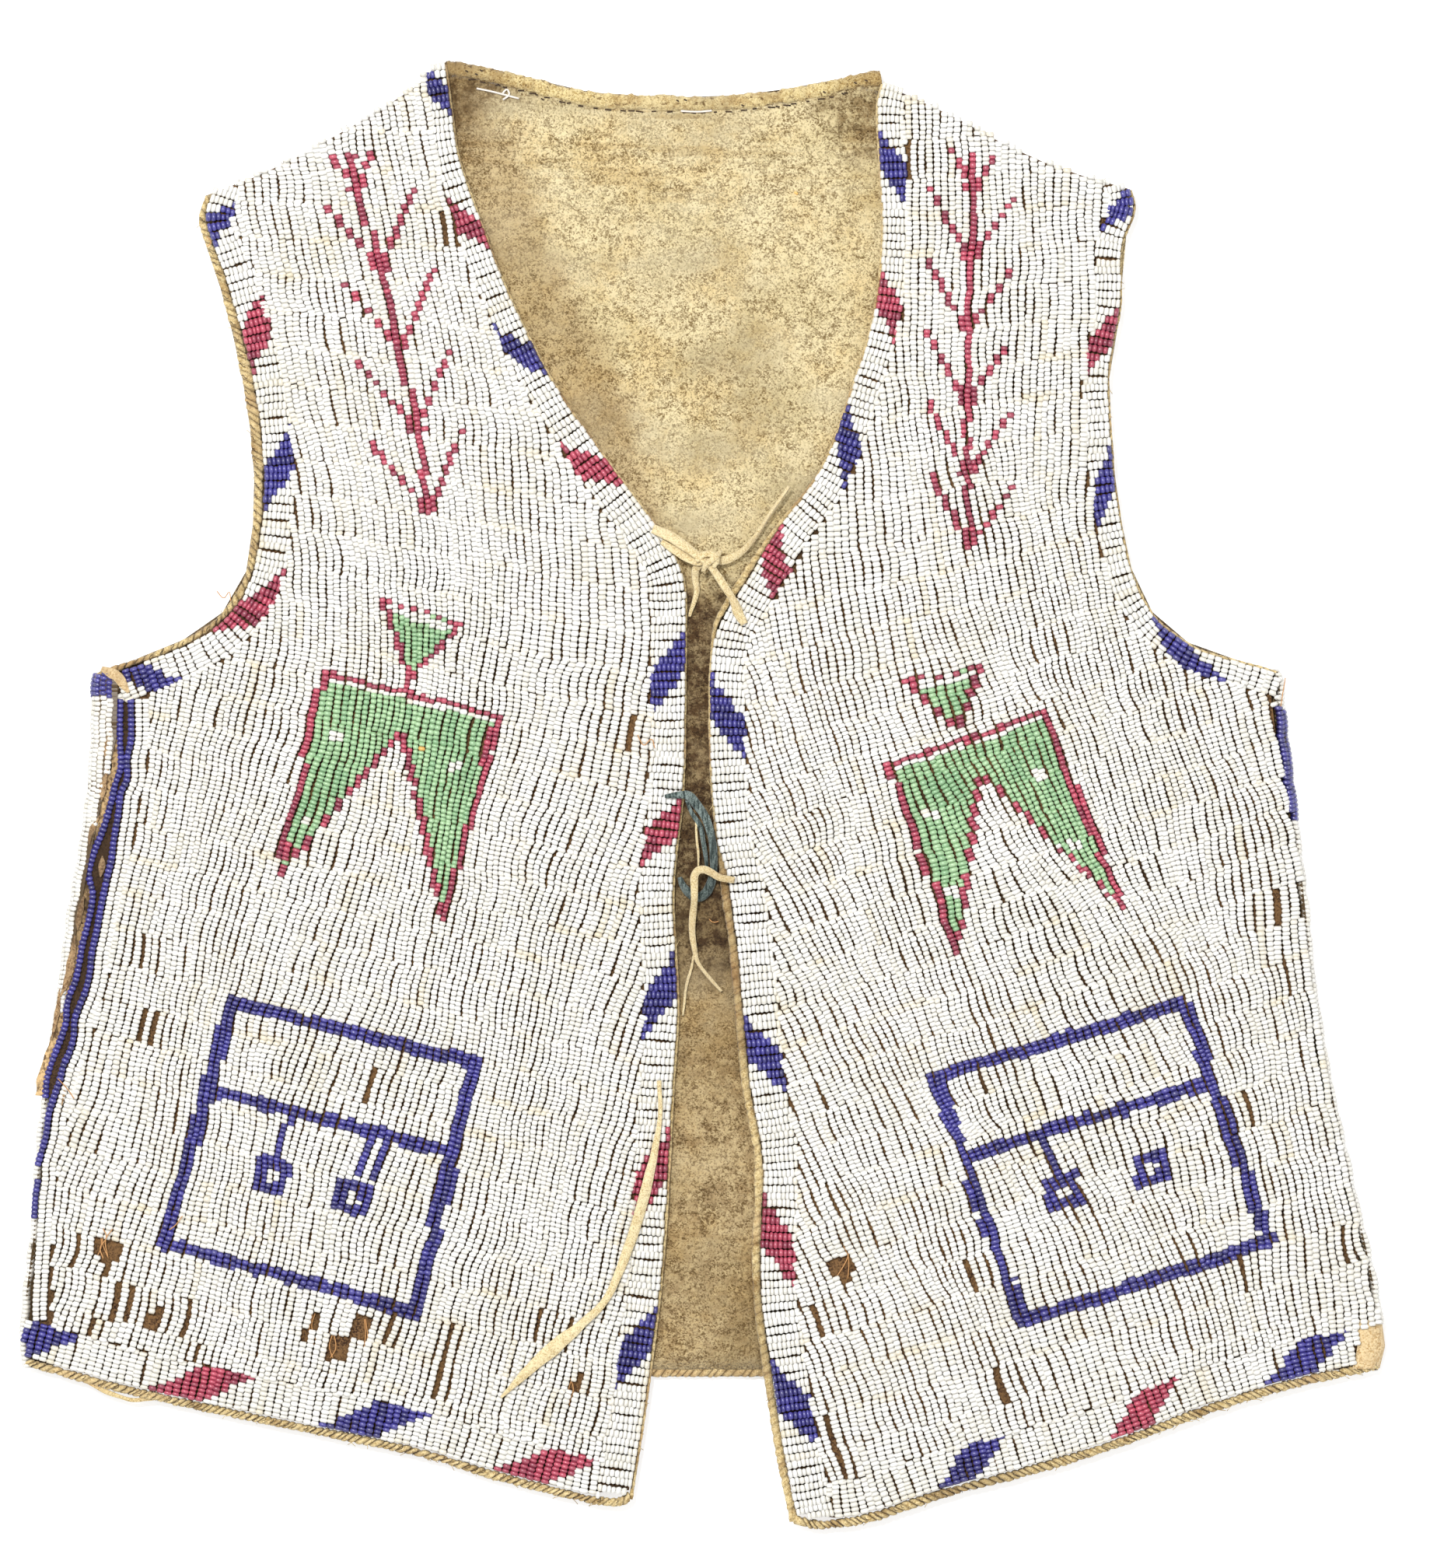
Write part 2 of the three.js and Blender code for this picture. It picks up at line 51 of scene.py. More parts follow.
# Outlines of the two fronts, each edge running on from the one before it, up the opening first.
RIGHT = {
    "name": "right",
    "side": -1,
    "opening": [
        (-17.8, -181.5), (-13.6, -154), (-9.6, -121), (-6.9, -75), (-5.7, -55), (-6.9, -24), (-4.5, 0),
        (-3.9, 30), (-4.3, 55.5), (-6.4, 61), (-12.4, 70.7), (-19.5, 80.1), (-37.4, 105.5), (-50.6, 131.8),
        (-57.1, 149.2), (-62.2, 164), (-64, 176), (-65.6, 188),
    ],
    "shoulder": [(-65.6, 188), (-69, 187), (-76, 180.4), (-90.9, 171.5), (-110.7, 160.7), (-127.9, 154.2)],
    "armhole": [
        (-127.9, 154.2), (-129.4, 148.5), (-124.2, 131), (-119.8, 114), (-116.6, 96), (-115.3, 76),
        (-118, 55.5), (-122.4, 48.2), (-127.4, 43.4), (-135, 39.2), (-156.6, 31),
    ],
    "flank": [
        (-156.6, 31), (-157.8, 4.5), (-160.9, -18), (-164.5, -40), (-167.7, -64), (-170.9, -89),
        (-172.7, -115), (-175.6, -141), (-174.5, -147),
    ],
    "hem": [
        (-174.5, -147), (-149.9, -153.9), (-119.3, -160.7), (-71.3, -170.9), (-51.5, -176.9),
        (-21.5, -183.2), (-17.8, -181.5),
    ],
    "reach": [(31, 6.4), (14, 6.6), (2, 4.8), (-6, 3.2), (-41, 2.8), (-60, 1.2), (-80, 0), (-146.5, 0)],
    # how wide the binding and the lane beside it are along each edge, as height and width, and how
    # much of the binding the beads leave bare
    "binding": {
        "opening": [(188, 1.0)],
        "armhole": [(154, 1.6), (131, 2.2), (96, 3.0), (70, 2.3), (45, 1.6)],
        "hem": [(0, 2.2)],
    },
    "border": {
        "opening": [(188, 5.6), (165, 5.8), (140, 7.0), (100, 7.6), (75, 8.8), (50, 9.2), (0, 8.8)],
        "armhole": [(154, 7.0), (131, 7.8), (60, 8.0)],
        "hem": [(0, 9.6)],
    },
    "bare": {
        "opening": [(188, 0.2), (30, 0.2), (-24, 0.4), (-181, 0.6)],
        "armhole": [(154, 1.3), (131, 2.0), (96, 2.8), (70, 2.2), (45, 1.5)],
        "hem": [(0, 2.2)],
    },
    "lane_x": -85,
    "lanes": [(0, 190, 0), (6, 132, 4), (11, 84, 9), (16, 36, 13), (22, -22, 14), (28, -80, 15), (37, -172, 13)],
    # height, and how far the rows lean there: degrees that their lower ends stand towards +X
    "lean": [(190, 10), (95, 12), (60, 2), (35, -9), (0, -14), (-190, -14)],
}
LEFT = {
    "name": "left",
    "side": 1,
    "opening": [
        (22.7, -187.3), (19.6, -172.7), (16.1, -151), (13.5, -132), (12.9, -119.5), (13.5, -94), (10.3, -75),
        (7.1, -40.5), (4.9, -24), (2.1, 4.3), (1.9, 32.7), (3.1, 44), (5, 48.2), (8.5, 54.3), (18.1, 68),
        (30.1, 83.5), (37.9, 103.5), (43.9, 123.7), (46.1, 144), (44.9, 178), (46.1, 183),
    ],
    "shoulder": [(46.1, 183), (64.1, 174.8), (79.5, 166.5), (94.1, 160.4), (110.8, 155.6)],
    "armhole": [
        (110.8, 155.6), (111.8, 151.2), (108.4, 140.5), (108.1, 126), (105, 108), (105.7, 92.3),
        (106.9, 78.3), (111.4, 56), (116.9, 45.9), (123.1, 40.7), (128.7, 37.3), (137.3, 34.9), (148.8, 31.6),
    ],
    "flank": [
        (148.8, 31.6), (150.3, 19.3), (153.1, -3.7), (156.5, -35), (160.3, -64), (166.5, -94.7),
        (172.5, -121.3), (175.9, -142), (174.2, -148.2),
    ],
    "hem": [
        (174.2, -148.2), (153.3, -152.6), (133.5, -158.4), (105.5, -168.8), (81.7, -176),
        (61.9, -181.2), (41.9, -187.7), (28.7, -189), (22.7, -187.3),
    ],
    "reach": [(31.6, 0.6), (24, 0.8), (22, 2.9), (14, 2.8), (10, 2.3), (4, 2.1), (-6, 1.5), (-9, 0), (-148.2, 0)],
    "binding": {
        "opening": [(183, 1.0), (68, 1.2), (55, 2.2), (44, 1.2), (-2, 1.2), (-20, 2.2)],
        "armhole": [(155, 0.9)],
        "hem": [(0, 2.4)],
    },
    "border": {
        "opening": [(183, 6.8), (120, 7.0), (95, 7.6), (70, 8.0), (50, 9.2)],
        "armhole": [(155, 6.6), (90, 6.4), (45, 6.2)],
        "hem": [(0, 9.6)],
    },
    "bare": {
        "opening": [(183, 0.2), (84, 0.2), (68, 0.8), (56, 2.0), (46, 1.6), (36, 0.2), (-12, 0.2), (-22, 2.0)],
        "armhole": [(155, 0.3)],
        "hem": [(0, 2.4)],
    },
    "lane_x": 95,
    "lanes": [(0, 190, -2), (6, 132, -5), (11, 84, -10), (16, 36, -17), (22, -22, -18), (28, -80, -18),
              (37, -172, -15)],
    "lean": [(190, -2), (110, 1), (70, 8), (40, 16), (10, 20), (-80, 21), (-190, 17)],
}
BACK_NECK = [
    (-65.6, 189), (-60.5, 188.4), (-46.1, 185.2), (-28.9, 181), (-11.7, 180), (6.7, 180),
    (29.7, 183.2), (40, 185.7), (46.1, 186.4),
]
BACK_HEM = [(-174.5, -147), (-90, -149), (0, -150), (90, -149), (174.2, -148.2)]

# Border motifs: edge, colour, where one starts, where it ends, and True if it starts at the outer side
BORDER = {
    "right": [
        ("opening", "blue", (-66.5, 187.5), (-64.5, 175.3), False),
        ("opening", "red", (-62.5, 154), (-54.5, 140.7), False),
        ("opening", "blue", (-49, 122), (-39, 108.5), False),
        ("opening", "red", (-33, 92), (-20, 79.5), False),
        ("opening", "blue", (-4.2, 42.3), (-8, 21.3), True),
        ("opening", "red", (-5, -2), (-10, -18), True),
        ("opening", "blue", (-7, -40.5), (-11, -62.7), True),
        ("opening", "red", (-9, -86.3), (-14, -111.7), True),
        ("opening", "blue", (-11, -132.7), (-17, -154), True),
        ("armhole", "blue", (-128, 155), (-124, 142.5), False),
        ("armhole", "red", (-114, 129.7), (-118, 109), False),
        ("armhole", "blue", (-107, 95), (-113, 73.9), False),
        ("armhole", "red", (-108, 57.9), (-125.7, 40.9), False),
        ("armhole", "blue", (-137, 36), (-150, 29), False),
        ("hem", "blue", (-185.5, -144), (-161.7, -145), True),
        ("hem", "red", (-142.7, -156.5), (-116.3, -154.3), True),
        ("hem", "blue", (-98.5, -165.5), (-70.7, -163), True),
        ("hem", "red", (-53.7, -175), (-26.3, -173), True),
    ],
    "left": [
        ("opening", "blue", (45.5, 171), (52, 151.5), True),
        ("opening", "red", (44, 134.7), (50, 116.7), True),
        ("opening", "blue", (37, 100.5), (32, 82.3), True),
        ("opening", "red", (18, 70.3), (16, 50.3), True),
        ("opening", "blue", (2, 30.3), (11, 8.9), True),
        ("opening", "blue", (9, -57.7), (21, -75.9), True),
        ("opening", "red", (13, -102.9), (23, -126.5), True),
        ("opening", "blue", (15, -145.5), (29, -168.7), True),
        ("armhole", "blue", (109.5, 157), (104, 145.5), True),
        ("armhole", "red", (107, 126), (98, 108), True),
        ("armhole", "blue", (105.5, 88.3), (102, 68.1), True),
        ("armhole", "blue", (117.5, 45.7), (134, 26.9), True),
        ("hem", "blue", (62, -181), (79, -171), True),
        ("hem", "red", (104.9, -166.5), (123.5, -153), True),
        ("hem", "blue", (145, -151.3), (166.5, -140), True),
    ],
}


def tree(tip, top, foot, bow, pairs, left, right):
    """A stem that bows a little, and a pair of branches at each even step, the top pair half as long."""
    nodes = []
    for k in range(pairs):
        share = k / (pairs - 1)
        nodes.append((top[0] + (foot[0] - top[0]) * share + bow * math.sin(math.pi * share),
                      top[1] + (foot[1] - top[1]) * share))
    branches = []
    for k, (x, y) in enumerate(nodes):
        size = 0.5 if k == 0 else 1.0
        branches += [[(x, y), (x + dx * size, y + dy * size)] for dx, dy in (left, right)]
    return {"stem": [tip, *nodes], "branches": branches}


def bird(shoulder, tips, fork, head, neck, spots, amber):
    """Straight-sided wings: from the shoulder line down to two tips, with a notch between them up to the fork."""
    (a, b), (left, right) = shoulder, tips
    x, y = fork
    return {
        "shoulder": [a, b], "outer": [[a, left], [b, right]],
        "inner": [[(x - 0.9, y), left], [(x + 0.9, y), right]],
        "head": head, "neck": neck, "spots": spots, "amber": amber,
    }


def pocket(corners, flap, ties, tags, slope):
    """Four straight sides, a flap that ends part of the way down them, and ties that end in square tags."""
    top_left, top_right, low_right, low_left = corners

    def down(a, b, share):
        return (a[0] + (b[0] - a[0]) * share, a[1] + (b[1] - a[1]) * share)

    half, turn = 3.9, math.radians(slope)
    along, across = (half * math.cos(turn), half * math.sin(turn)), (-half * math.sin(turn), half * math.cos(turn))
    square = [(-1, 1), (1, 1), (1, -1), (-1, -1)]
    return {
        "across": [[top_left, top_right],
                   [down(top_left, low_left, flap), down(top_right, low_right, flap)], [low_left, low_right]],
        "down": [[top_left, low_left], [top_right, low_right]],
        "tie": ties,
        "tag": [[(x + i * along[0] + j * across[0], y + i * along[1] + j * across[1]) for i, j in square]
                for x, y in tags],
        "hole": tags,
    }


# The branched trees: tip, first and last pair's places on the stem, its bow, pairs, and the branches' rise
TREES = {
    "right": tree((-90, 164), (-88.5, 156), (-70, 73), 2, 5, (-15, 17), (8, 20)),
    "left": tree((70, 165), (70, 156), (69, 64), -1.5, 6, (-10, 18), (11, 15)),
}
# The birds: shoulder line, the wings' tips, the notch between them, the head, its neck and the spots
BIRDS = {
    "right": bird([(-97, 31.5), (-52.5, 20)], [(-109, -21), (-66.5, -32.5)], (-77.5, 15),
                  [(-82, 50), (-62, 44), (-75, 30)], (-75.5, 27.5), [(-94.5, 15), (-101.5, -7), (-63.5, 7)],
                  [(-72.5, 12)]),
    "left": bird([(48.5, 7.5), (88, 21)], [(66, -41), (108, -28.5)], (72, 4.5),
                 [(53, 29), (72, 33), (65.5, 16.5)], (67.5, 13.5), [(58.5, -5), (86.5, 5), (96, -13), (64, -25)], []),
}
# The pockets: corners from the top left round, how far down the flap ends, the ties, the tags and their slope
POCKETS = {
    "right": pocket([(-121, -53.5), (-58, -69), (-74, -133), (-138, -115.5)], 0.36,
                    [[(-106, -82.5), (-108.5, -93)], [(-84.5, -89.5), (-88.5, -98)], [(-81, -88.5), (-84, -99.5)]],
                    [(-110.5, -98), (-89.5, -103.5)], -14),
    "left": pocket([(60, -72.5), (124, -53.5), (146, -115), (82.5, -135.5)], 0.33,
                   [[(87.5, -88.5), (91, -98)], [(109.5, -82), (113, -90.5)]], [(93, -102), (115.5, -96)], 16),
}
# The two blue strings down the side seam, the outer one first, each from the top down
SEAM_STRINGS = [
    [(-149.6, 24), (-149.7, 14), (-149.5, 7), (-150.9, 2.7), (-151.9, -1.7), (-154.3, -9.7), (-156.7, -15.7),
     (-157.7, -20.7), (-156.7, -25.7), (-158.1, -33.7), (-159.4, -38.7), (-160.2, -43.5), (-161.2, -48),
     (-162.6, -51.4), (-163.4, -54.6), (-163.6, -58.5), (-165, -63), (-166.6, -67), (-167.8, -70.5),
     (-168.6, -73.5), (-168.9, -77.5)],
    [(-146.9, 24), (-146.9, 14), (-147.9, 9), (-147.9, 4), (-149.5, 0.3), (-150.1, -4.7), (-151.3, -11.7),
     (-151.9, -16.7), (-153.1, -21.7), (-154.7, -29.5), (-155.7, -35), (-157, -41), (-157.5, -46), (-158.6, -50.5),
     (-160.2, -54.5), (-161.4, -58), (-161.6, -62), (-162.6, -66), (-164.2, -69.5), (-165.2, -73.5),
     (-166.6, -77.5), (-168, -82), (-168.6, -87), (-169.8, -91.5), (-170.8, -95)],
    [(-170.9, -99.5), (-171.5, -103.5), (-171.8, -108.5)],
]
# Hide that shows bare beside and between them: the way down it, and its width there
SEAM_BARE = [
    ([(-151.9, 17), (-153.4, 11.5), (-153.2, 9)], 1.6), ([(-152.6, 6.5), (-154.0, 2.5), (-154.3, -1.5)], 1.9),
    ([(-154.9, -5.5), (-157, -9.5), (-157.6, -13)], 1.5), ([(-154.2, -15.8), (-154.7, -21.2)], 1.7),
    ([(-158.9, -26), (-160.2, -31), (-160.6, -35)], 1.8),
    ([(-161.2, -36.3), (-162, -42), (-163, -47), (-165, -52)], 2.4),
    ([(-165.2, -50), (-166, -57), (-167.2, -63)], 1.3),
    ([(-163.4, -73.6), (-164.6, -80)], 0.9),
]
# Where beads are lost: centre x, y, width, height
LOST = {
    "right": [
        (-162.1, -113.9, 2.4, 8), (-153.5, -115.3, 6, 8), (-152.7, -124.1, 2.2, 7), (-151.9, -135.3, 2.6, 9),
        (-147.9, -135.7, 2.2, 8), (-140.3, -136.3, 3.2, 8), (-132.5, -139.3, 2.2, 8), (-129.3, -140.9, 2.2, 8),
        (-158.9, -141.9, 2.4, 7), (-100.5, -137.5, 5, 8), (-94.5, -140.9, 4.5, 8), (-86.5, -138.9, 4, 8),
        (-80.5, -141.7, 2.4, 8), (-42.1, -132.3, 2.2, 6), (-34.5, -135.5, 2.4, 6), (-65.3, -143.5, 2, 6),
        (-67.3, -152.1, 2.6, 7), (-32.9, -153.5, 4.2, 7.5), (-23.3, -157.5, 2, 7), (-143.7, -43.3, 2.2, 8),
        (-140.7, -57.1, 2.2, 8), (-144.3, -57.1, 2, 8), (-66.3, 142.6, 1.8, 9), (-62.9, 142.6, 1.7, 9),
        (-17.3, 16.5, 1.8, 4), (-86.5, -78.7, 1.7, 6),
    ],
    "left": [
        (36.3, -120.3, 5.6, 8.4), (68.5, -122.3, 1.8, 8), (29.3, -136.9, 1.8, 7), (77.7, -150.1, 1.8, 6),
        (25.3, -172.1, 2.2, 7), (32.7, -166.7, 2.2, 8), (35.3, -174.1, 2.4, 8), (75.7, -170.7, 5, 8),
        (81.7, -169.3, 3.4, 8), (85.7, -164.7, 2, 5), (139.5, -77.7, 1.8, 8), (165.5, -114.1, 2.2, 8),
        (139.5, -118.7, 1.8, 6), (171.6, -141.5, 6, 12), (146.5, 26.9, 1.6, 6), (53.9, 166.5, 1.6, 6),
        (148.4, -25.1, 1.6, 8), (151.2, -45.1, 1.6, 8),
    ],
}

# Thongs: width, thickness, the route as x, y and height above the beads' tops, and how the width and the turn vary
THONGS = {
    "upper_tie_right": (2.3, 0.9, [
        (-12.6, 68.3, 0.2), (-8.1, 66.3, 0.6), (-4.5, 63.9, 0.6), (-1.5, 61.7, 0.9), (1.5, 59.6, 1.0),
        (3.6, 56.8, 0.6), (6.2, 53, 0.3), (8.2, 49.6, 0.3), (9.6, 46.2, 0.3), (11, 43.8, 0.3)],
        [1.0, 1.2, 1.15, 1.0, 0.9, 0.85, 0.9, 0.8, 1.2, 0.8], [0.2, 0.1, 0.4, 0.6, 0.4, 0.2, 0.5, 0.1]),
    "upper_tie_left": (1.8, 0.8, [
        (22.5, 79.2, 0.0), (17.5, 72, -1.2), (13.4, 65.8, -2.4), (9.5, 61.9, -1.6), (5.5, 60.2, -1.2),
        (2, 60.6, -1.1), (-1.2, 58.6, -1.2), (-1.7, 55.5, -3.0), (-1.3, 52.6, -3.6), (-1.9, 49.8, -3.7),
        (-2.9, 47, -3.7), (-3.2, 45.8, -3.7)],
        [0.4, 0.45, 0.5, 0.55, 0.8, 1.0, 1.25, 1.3, 1.1, 0.9, 0.7, 0.4], [1.2, 1.0, 0.9, 0.4, 0.2, 0.1, 0.4, 0.2]),
    "middle_tie_grey": (2.4, 0.8, [
        (-9.5, -0.5, 0.3), (-5.9, -0.1, 0.5), (-3.5, -0.3, 0.4), (-1.1, -2.9, -0.6), (1.1, -6.3, -0.6),
        (2.3, -10.1, -0.6),
        (2.9, -13.7, -0.6), (3.1, -17.7, -1.2), (2.9, -20.1, -2.0), (2.3, -22.9, -2.8), (0.9, -25.5, -3.2),
        (-1.1, -26.5, -3.4), (-3.3, -25.3, -3.2), (-4.9, -23.3, -2.8), (-5.7, -21.3, -2.4)],
        [0.35, 0.7, 1.0, 1.0, 0.95, 0.9, 0.9, 0.9, 0.85, 0.8, 1.0, 1.05, 1.05, 0.9, 0.5],
        [0.1, 0.2, 0.3, 0.6, 0.5, 0.3, 0.4, 0.8]),
    "middle_tie_pale": (1.8, 0.8, [
        (8.4, -22, 0.2), (4.5, -21.3, 0.7), (2.5, -20.1, 0.9), (0.7, -19.3, 1.0), (-0.9, -19.5, 0.9),
        (-1.9, -20.9, 0.7),
        (-1.9, -23.7, 0.2), (-1.9, -26.7, -0.3), (-2.3, -30.7, -2.4), (-2.5, -35.7, -3.3), (-1.9, -39.7, -3.6),
        (-1.1, -43.1, -3.6), (0.7, -45.7, -3.6), (2.7, -48.1, -3.6), (5.1, -50.7, -3.6)],
        [0.9, 1.0, 1.05, 1.1, 1.15, 1.0, 0.95, 1.0, 0.95, 0.9, 0.75, 0.55, 0.5, 0.5, 0.35],
        [0.1, 0.2, 0.3, 0.2, 0.1, 0.4, 0.2, 0.2]),
    "lower_thong": (2.4, 0.8, [
        (-11, -73.5, 0.2), (-10.7, -82, 0.2), (-12, -91, 0.2), (-14, -100, 0.2), (-16.4, -109, 0.2),
        (-20, -119.5, 0.2), (-24.8, -130, 0.2), (-31.4, -136.6, 0.2), (-39, -143, 0.2), (-45, -148.4, 0.2),
        (-51.6, -155, 0.2)],
        [0.45, 0.45, 0.8, 1.2, 1.15, 1.0, 0.75, 0.9, 1.6, 1.1, 0.25], [0.2, 0.1, 0.4, 0.2, 0.1, 0.1, 0.1]),
}
# The ties' other strands and the turns of the knot
STRANDS = [
    ("upper_tie_second_strand", 2.0, 0.8, [(-10.4, 65, 0.1), (-6.5, 62.5, -0.2), (-3.6, 60.6, -0.4),
                                           (-0.5, 59.6, 0.2), (1.4, 60.2, 0.6)]),
    ("upper_knot_over", 1.6, 0.9, [(-1.4, 59.8, 1.1), (0.4, 61.7, 1.7), (2.6, 61.7, 1.9), (3.8, 60.2, 1.6),
                                   (2.8, 58.4, 1.2)]),
    ("upper_knot_under", 1.5, 0.9, [(4.9, 62.6, 0.6), (3.4, 60.8, 1.9), (1.2, 59.2, 2.0), (0.2, 57.4, 0.9)]),
    ("middle_tie_grey_second", 1.2, 0.6, [(-3.9, -1.5, 0.1), (-2.5, -4.9, -1.0), (-0.5, -8.1, -1.4),
                                          (0.5, -12.7, -1.5), (1.1, -16.7, -1.7), (1.3, -19.5, -2.0)]),
    ("middle_tie_sinew", 0.6, 0.4, [(-1.5, -5.9, -1.2), (-1.3, -11.7, -1.4), (-0.9, -15.3, -1.2),
                                    (-0.9, -19.1, 0.1)]),
    ("middle_tie_fork", 0.7, 0.4, [(-1.9, -40.3, -3.6), (-2.7, -44.7, -3.7), (-3.9, -48.7, -3.7),
                                   (-4.5, -53.7, -3.7), (-4.9, -56.9, -3.7)]),
]
# Loose threads: where each runs, as x and y, from the top down
THREADS = [
    [(-16.5, 15.3), (-14.9, 12.7), (-12.9, 14.3), (-12.1, 11.9)],
    [(-124.7, 52.3), (-122.9, 50.5), (-121.5, 52.1), (-121.1, 49.7)],
    [(-127.3, 143.5), (-126.2, 142), (-127.2, 140.8)], [(150.1, 30), (149.5, 26.5), (148.9, 22.6)],
    [(-153.9, -111.5), (-153.1, -113.9), (-154.7, -116.5), (-153.9, -119.3)],
    [(-151.5, -111.7), (-153.3, -114.5), (-152.7, -118.9)], [(-133.5, -108.3), (-135.2, -110.6), (-136.9, -111.9)],
    [(1.9, -32.1), (2.9, -32.9), (4.3, -32.7)], [(-165.6, -73), (-162.9, -76), (-161.4, -78.2)],
]
IN_OPENING = 7  # the thread that lies on the back's hide, between the fronts

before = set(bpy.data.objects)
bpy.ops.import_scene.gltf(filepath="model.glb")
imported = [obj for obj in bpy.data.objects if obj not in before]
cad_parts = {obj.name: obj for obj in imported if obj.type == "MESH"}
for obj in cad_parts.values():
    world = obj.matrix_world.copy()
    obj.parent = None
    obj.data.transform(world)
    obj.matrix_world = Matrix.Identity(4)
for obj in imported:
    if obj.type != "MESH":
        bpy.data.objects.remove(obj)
bpy.ops.object.select_all(action="DESELECT")
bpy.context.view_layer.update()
scene = bpy.context.scene
scene.view_settings.view_transform = "Standard"
scene.view_settings.look = "None"
chance = np.random.default_rng(1890)


# Camera, straight above the vest

def add_camera():
    height, across, sensor = 2.6, 0.4032, 36
    centre = (4.3 * MM, 2.7 * MM)
    data = bpy.data.cameras.new("camera")
    data.sensor_fit = "VERTICAL"
    data.sensor_height = sensor
    data.lens = sensor * (height - TOP_AT * MM) / across
    data.clip_end = 20
    camera = bpy.data.objects.new("camera", data)
    camera.location = (*centre, height)
    scene.collection.objects.link(camera)
    scene.camera = camera


# Lines and surfaces

def smooth_line(points, step):
    """Points a step apart on a centripetal Catmull-Rom curve through these."""
    given = np.array(points, float)
    p = np.vstack([2 * given[0] - given[1], given, 2 * given[-1] - given[-2]])
    knots = np.concatenate([[0], np.cumsum(np.sqrt(np.linalg.norm(np.diff(p, axis=0), axis=1)))])
    pieces = []
    for i in range(1, len(p) - 2):
        t = np.linspace(knots[i], knots[i + 1], 24, endpoint=False)[:, None]
        k = knots[i - 1 : i + 3]
        q = p[i - 1 : i + 3]

        def between(a, b, ta, tb):
            return a * (tb - t) / (tb - ta) + b * (t - ta) / (tb - ta)

        a1, a2, a3 = (between(q[j], q[j + 1], k[j], k[j + 1]) for j in range(3))
        b1, b2 = between(a1, a2, k[0], k[2]), between(a2, a3, k[1], k[3])
        pieces.append(between(b1, b2, k[1], k[2]))
    dense = np.vstack([*pieces, given[-1:]])
    return spaced(dense, step)


def run_of(line):
    """How far along a line each of its points is."""
    return np.concatenate([[0.0], np.cumsum(np.linalg.norm(np.diff(line, axis=0), axis=1))])


def unit(vectors):
    """The same directions, each one long."""
    return vectors / np.linalg.norm(vectors, axis=-1, keepdims=True)


def spaced(line, step):
    """The same line with points a step apart."""
    run = run_of(line)
    count = max(2, round(run[-1] / step))
    at = np.linspace(0, run[-1], count + 1)
    return np.stack([np.interp(at, run, line[:, i]) for i in range(line.shape[1])], axis=1)


def moved(line, side, offset):
    """A line moved sideways, inwards from the edge of a front on that side."""
    before = line[np.maximum(np.arange(len(line)) - 1, 0)]
    after = line[np.minimum(np.arange(len(line)) + 1, len(line) - 1)]
    along = unit(after - before)
    return line + side * np.reshape(offset, (-1, 1)) * np.stack([along[:, 1], -along[:, 0]], axis=1)


def swell(x, y):
    return sum(h * np.exp(-(((x - cx) / w) ** 2) - (((y - cy) / l) ** 2)) for cx, cy, w, l, h in SWELLS)


def along_table(rows, value, column):
    """Looks up a table whose first column falls or rises."""
    rows = sorted(rows)
    return np.interp(value, [r[0] for r in rows], [r[column] for r in rows])


def at_level(points, level):
    """Places at a level above the surface that the vest lies on, raised by the swell."""
    return [(x, y, level + float(swell(x, y))) for x, y in points]


def edge_width(front, what, edge, y):
    return along_table(front[what][edge], y, 1)


def beads_inset(front, y):
    return np.maximum(along_table(front["reach"], y, 1), FOLD_LEAST) + SEAM_GAP


def seam_line(front, step):
    """Where the front's beads end at the side; they stand over the seam a little."""
    line = smooth_line(front["flank"], step)
    line[:, 0] -= front["side"] * (beads_inset(front, line[:, 1]) - 1.1)
    return line


def lane_line(front, lane, x):
    """The height at x of the line between two lanes, counted from the top."""
    rows = front["lanes"]
    i = 1
    while i < len(rows) - 1 and lane > rows[i][0]:
        i += 1
    (a, ya, sa), (b, yb, sb) = rows[i - 1], rows[i]
    share = (lane - a) / (b - a)
    slope = math.radians(sa + (sb - sa) * share)
    return ya + (yb - ya) * share - math.tan(slope) * (x - front["lane_x"])


def distance(x, y, line):
    """Distance of each point from a line."""
    best = np.full(x.shape, 1e9)
    for (ax, ay), (bx, by) in zip(line[:-1], line[1:], strict=True):
        dx, dy = bx - ax, by - ay
        t = np.clip(((x - ax) * dx + (y - ay) * dy) / (dx * dx + dy * dy), 0, 1)
        best = np.minimum(best, np.hypot(x - ax - t * dx, y - ay - t * dy))
    return best


def inside(x, y, ring):
    found = np.zeros(x.shape, bool)
    for (ax, ay), (bx, by) in zip(ring, np.roll(ring, -1, axis=0), strict=True):
        if ay != by:
            crosses = ((ay > y) != (by > y)) & (x < (bx - ax) * (y - ay) / (by - ay) + ax)
            found ^= crosses
    return found


def waves(x, y, seed, size):
    """A smooth field between about -1 and 1, whose waves are that many millimetres long."""
    rng = np.random.default_rng(seed)
    total = 0.0
    for _ in range(5):
        turn, phase = rng.uniform(0, 2 * math.pi, 2)
        long = size * rng.uniform(0.6, 1.6)
        total = total + np.sin(2 * math.pi * (x * math.cos(turn) + y * math.sin(turn)) / long + phase)
    return total / 3


# Colours and effects

def linear(hex_colour):
    channels = [int(hex_colour[i : i + 2], 16) / 255 for i in (0, 2, 4)]
    return (*[c / 12.92 if c <= 0.04045 else ((c + 0.055) / 1.055) ** 2.4 for c in channels], 1)


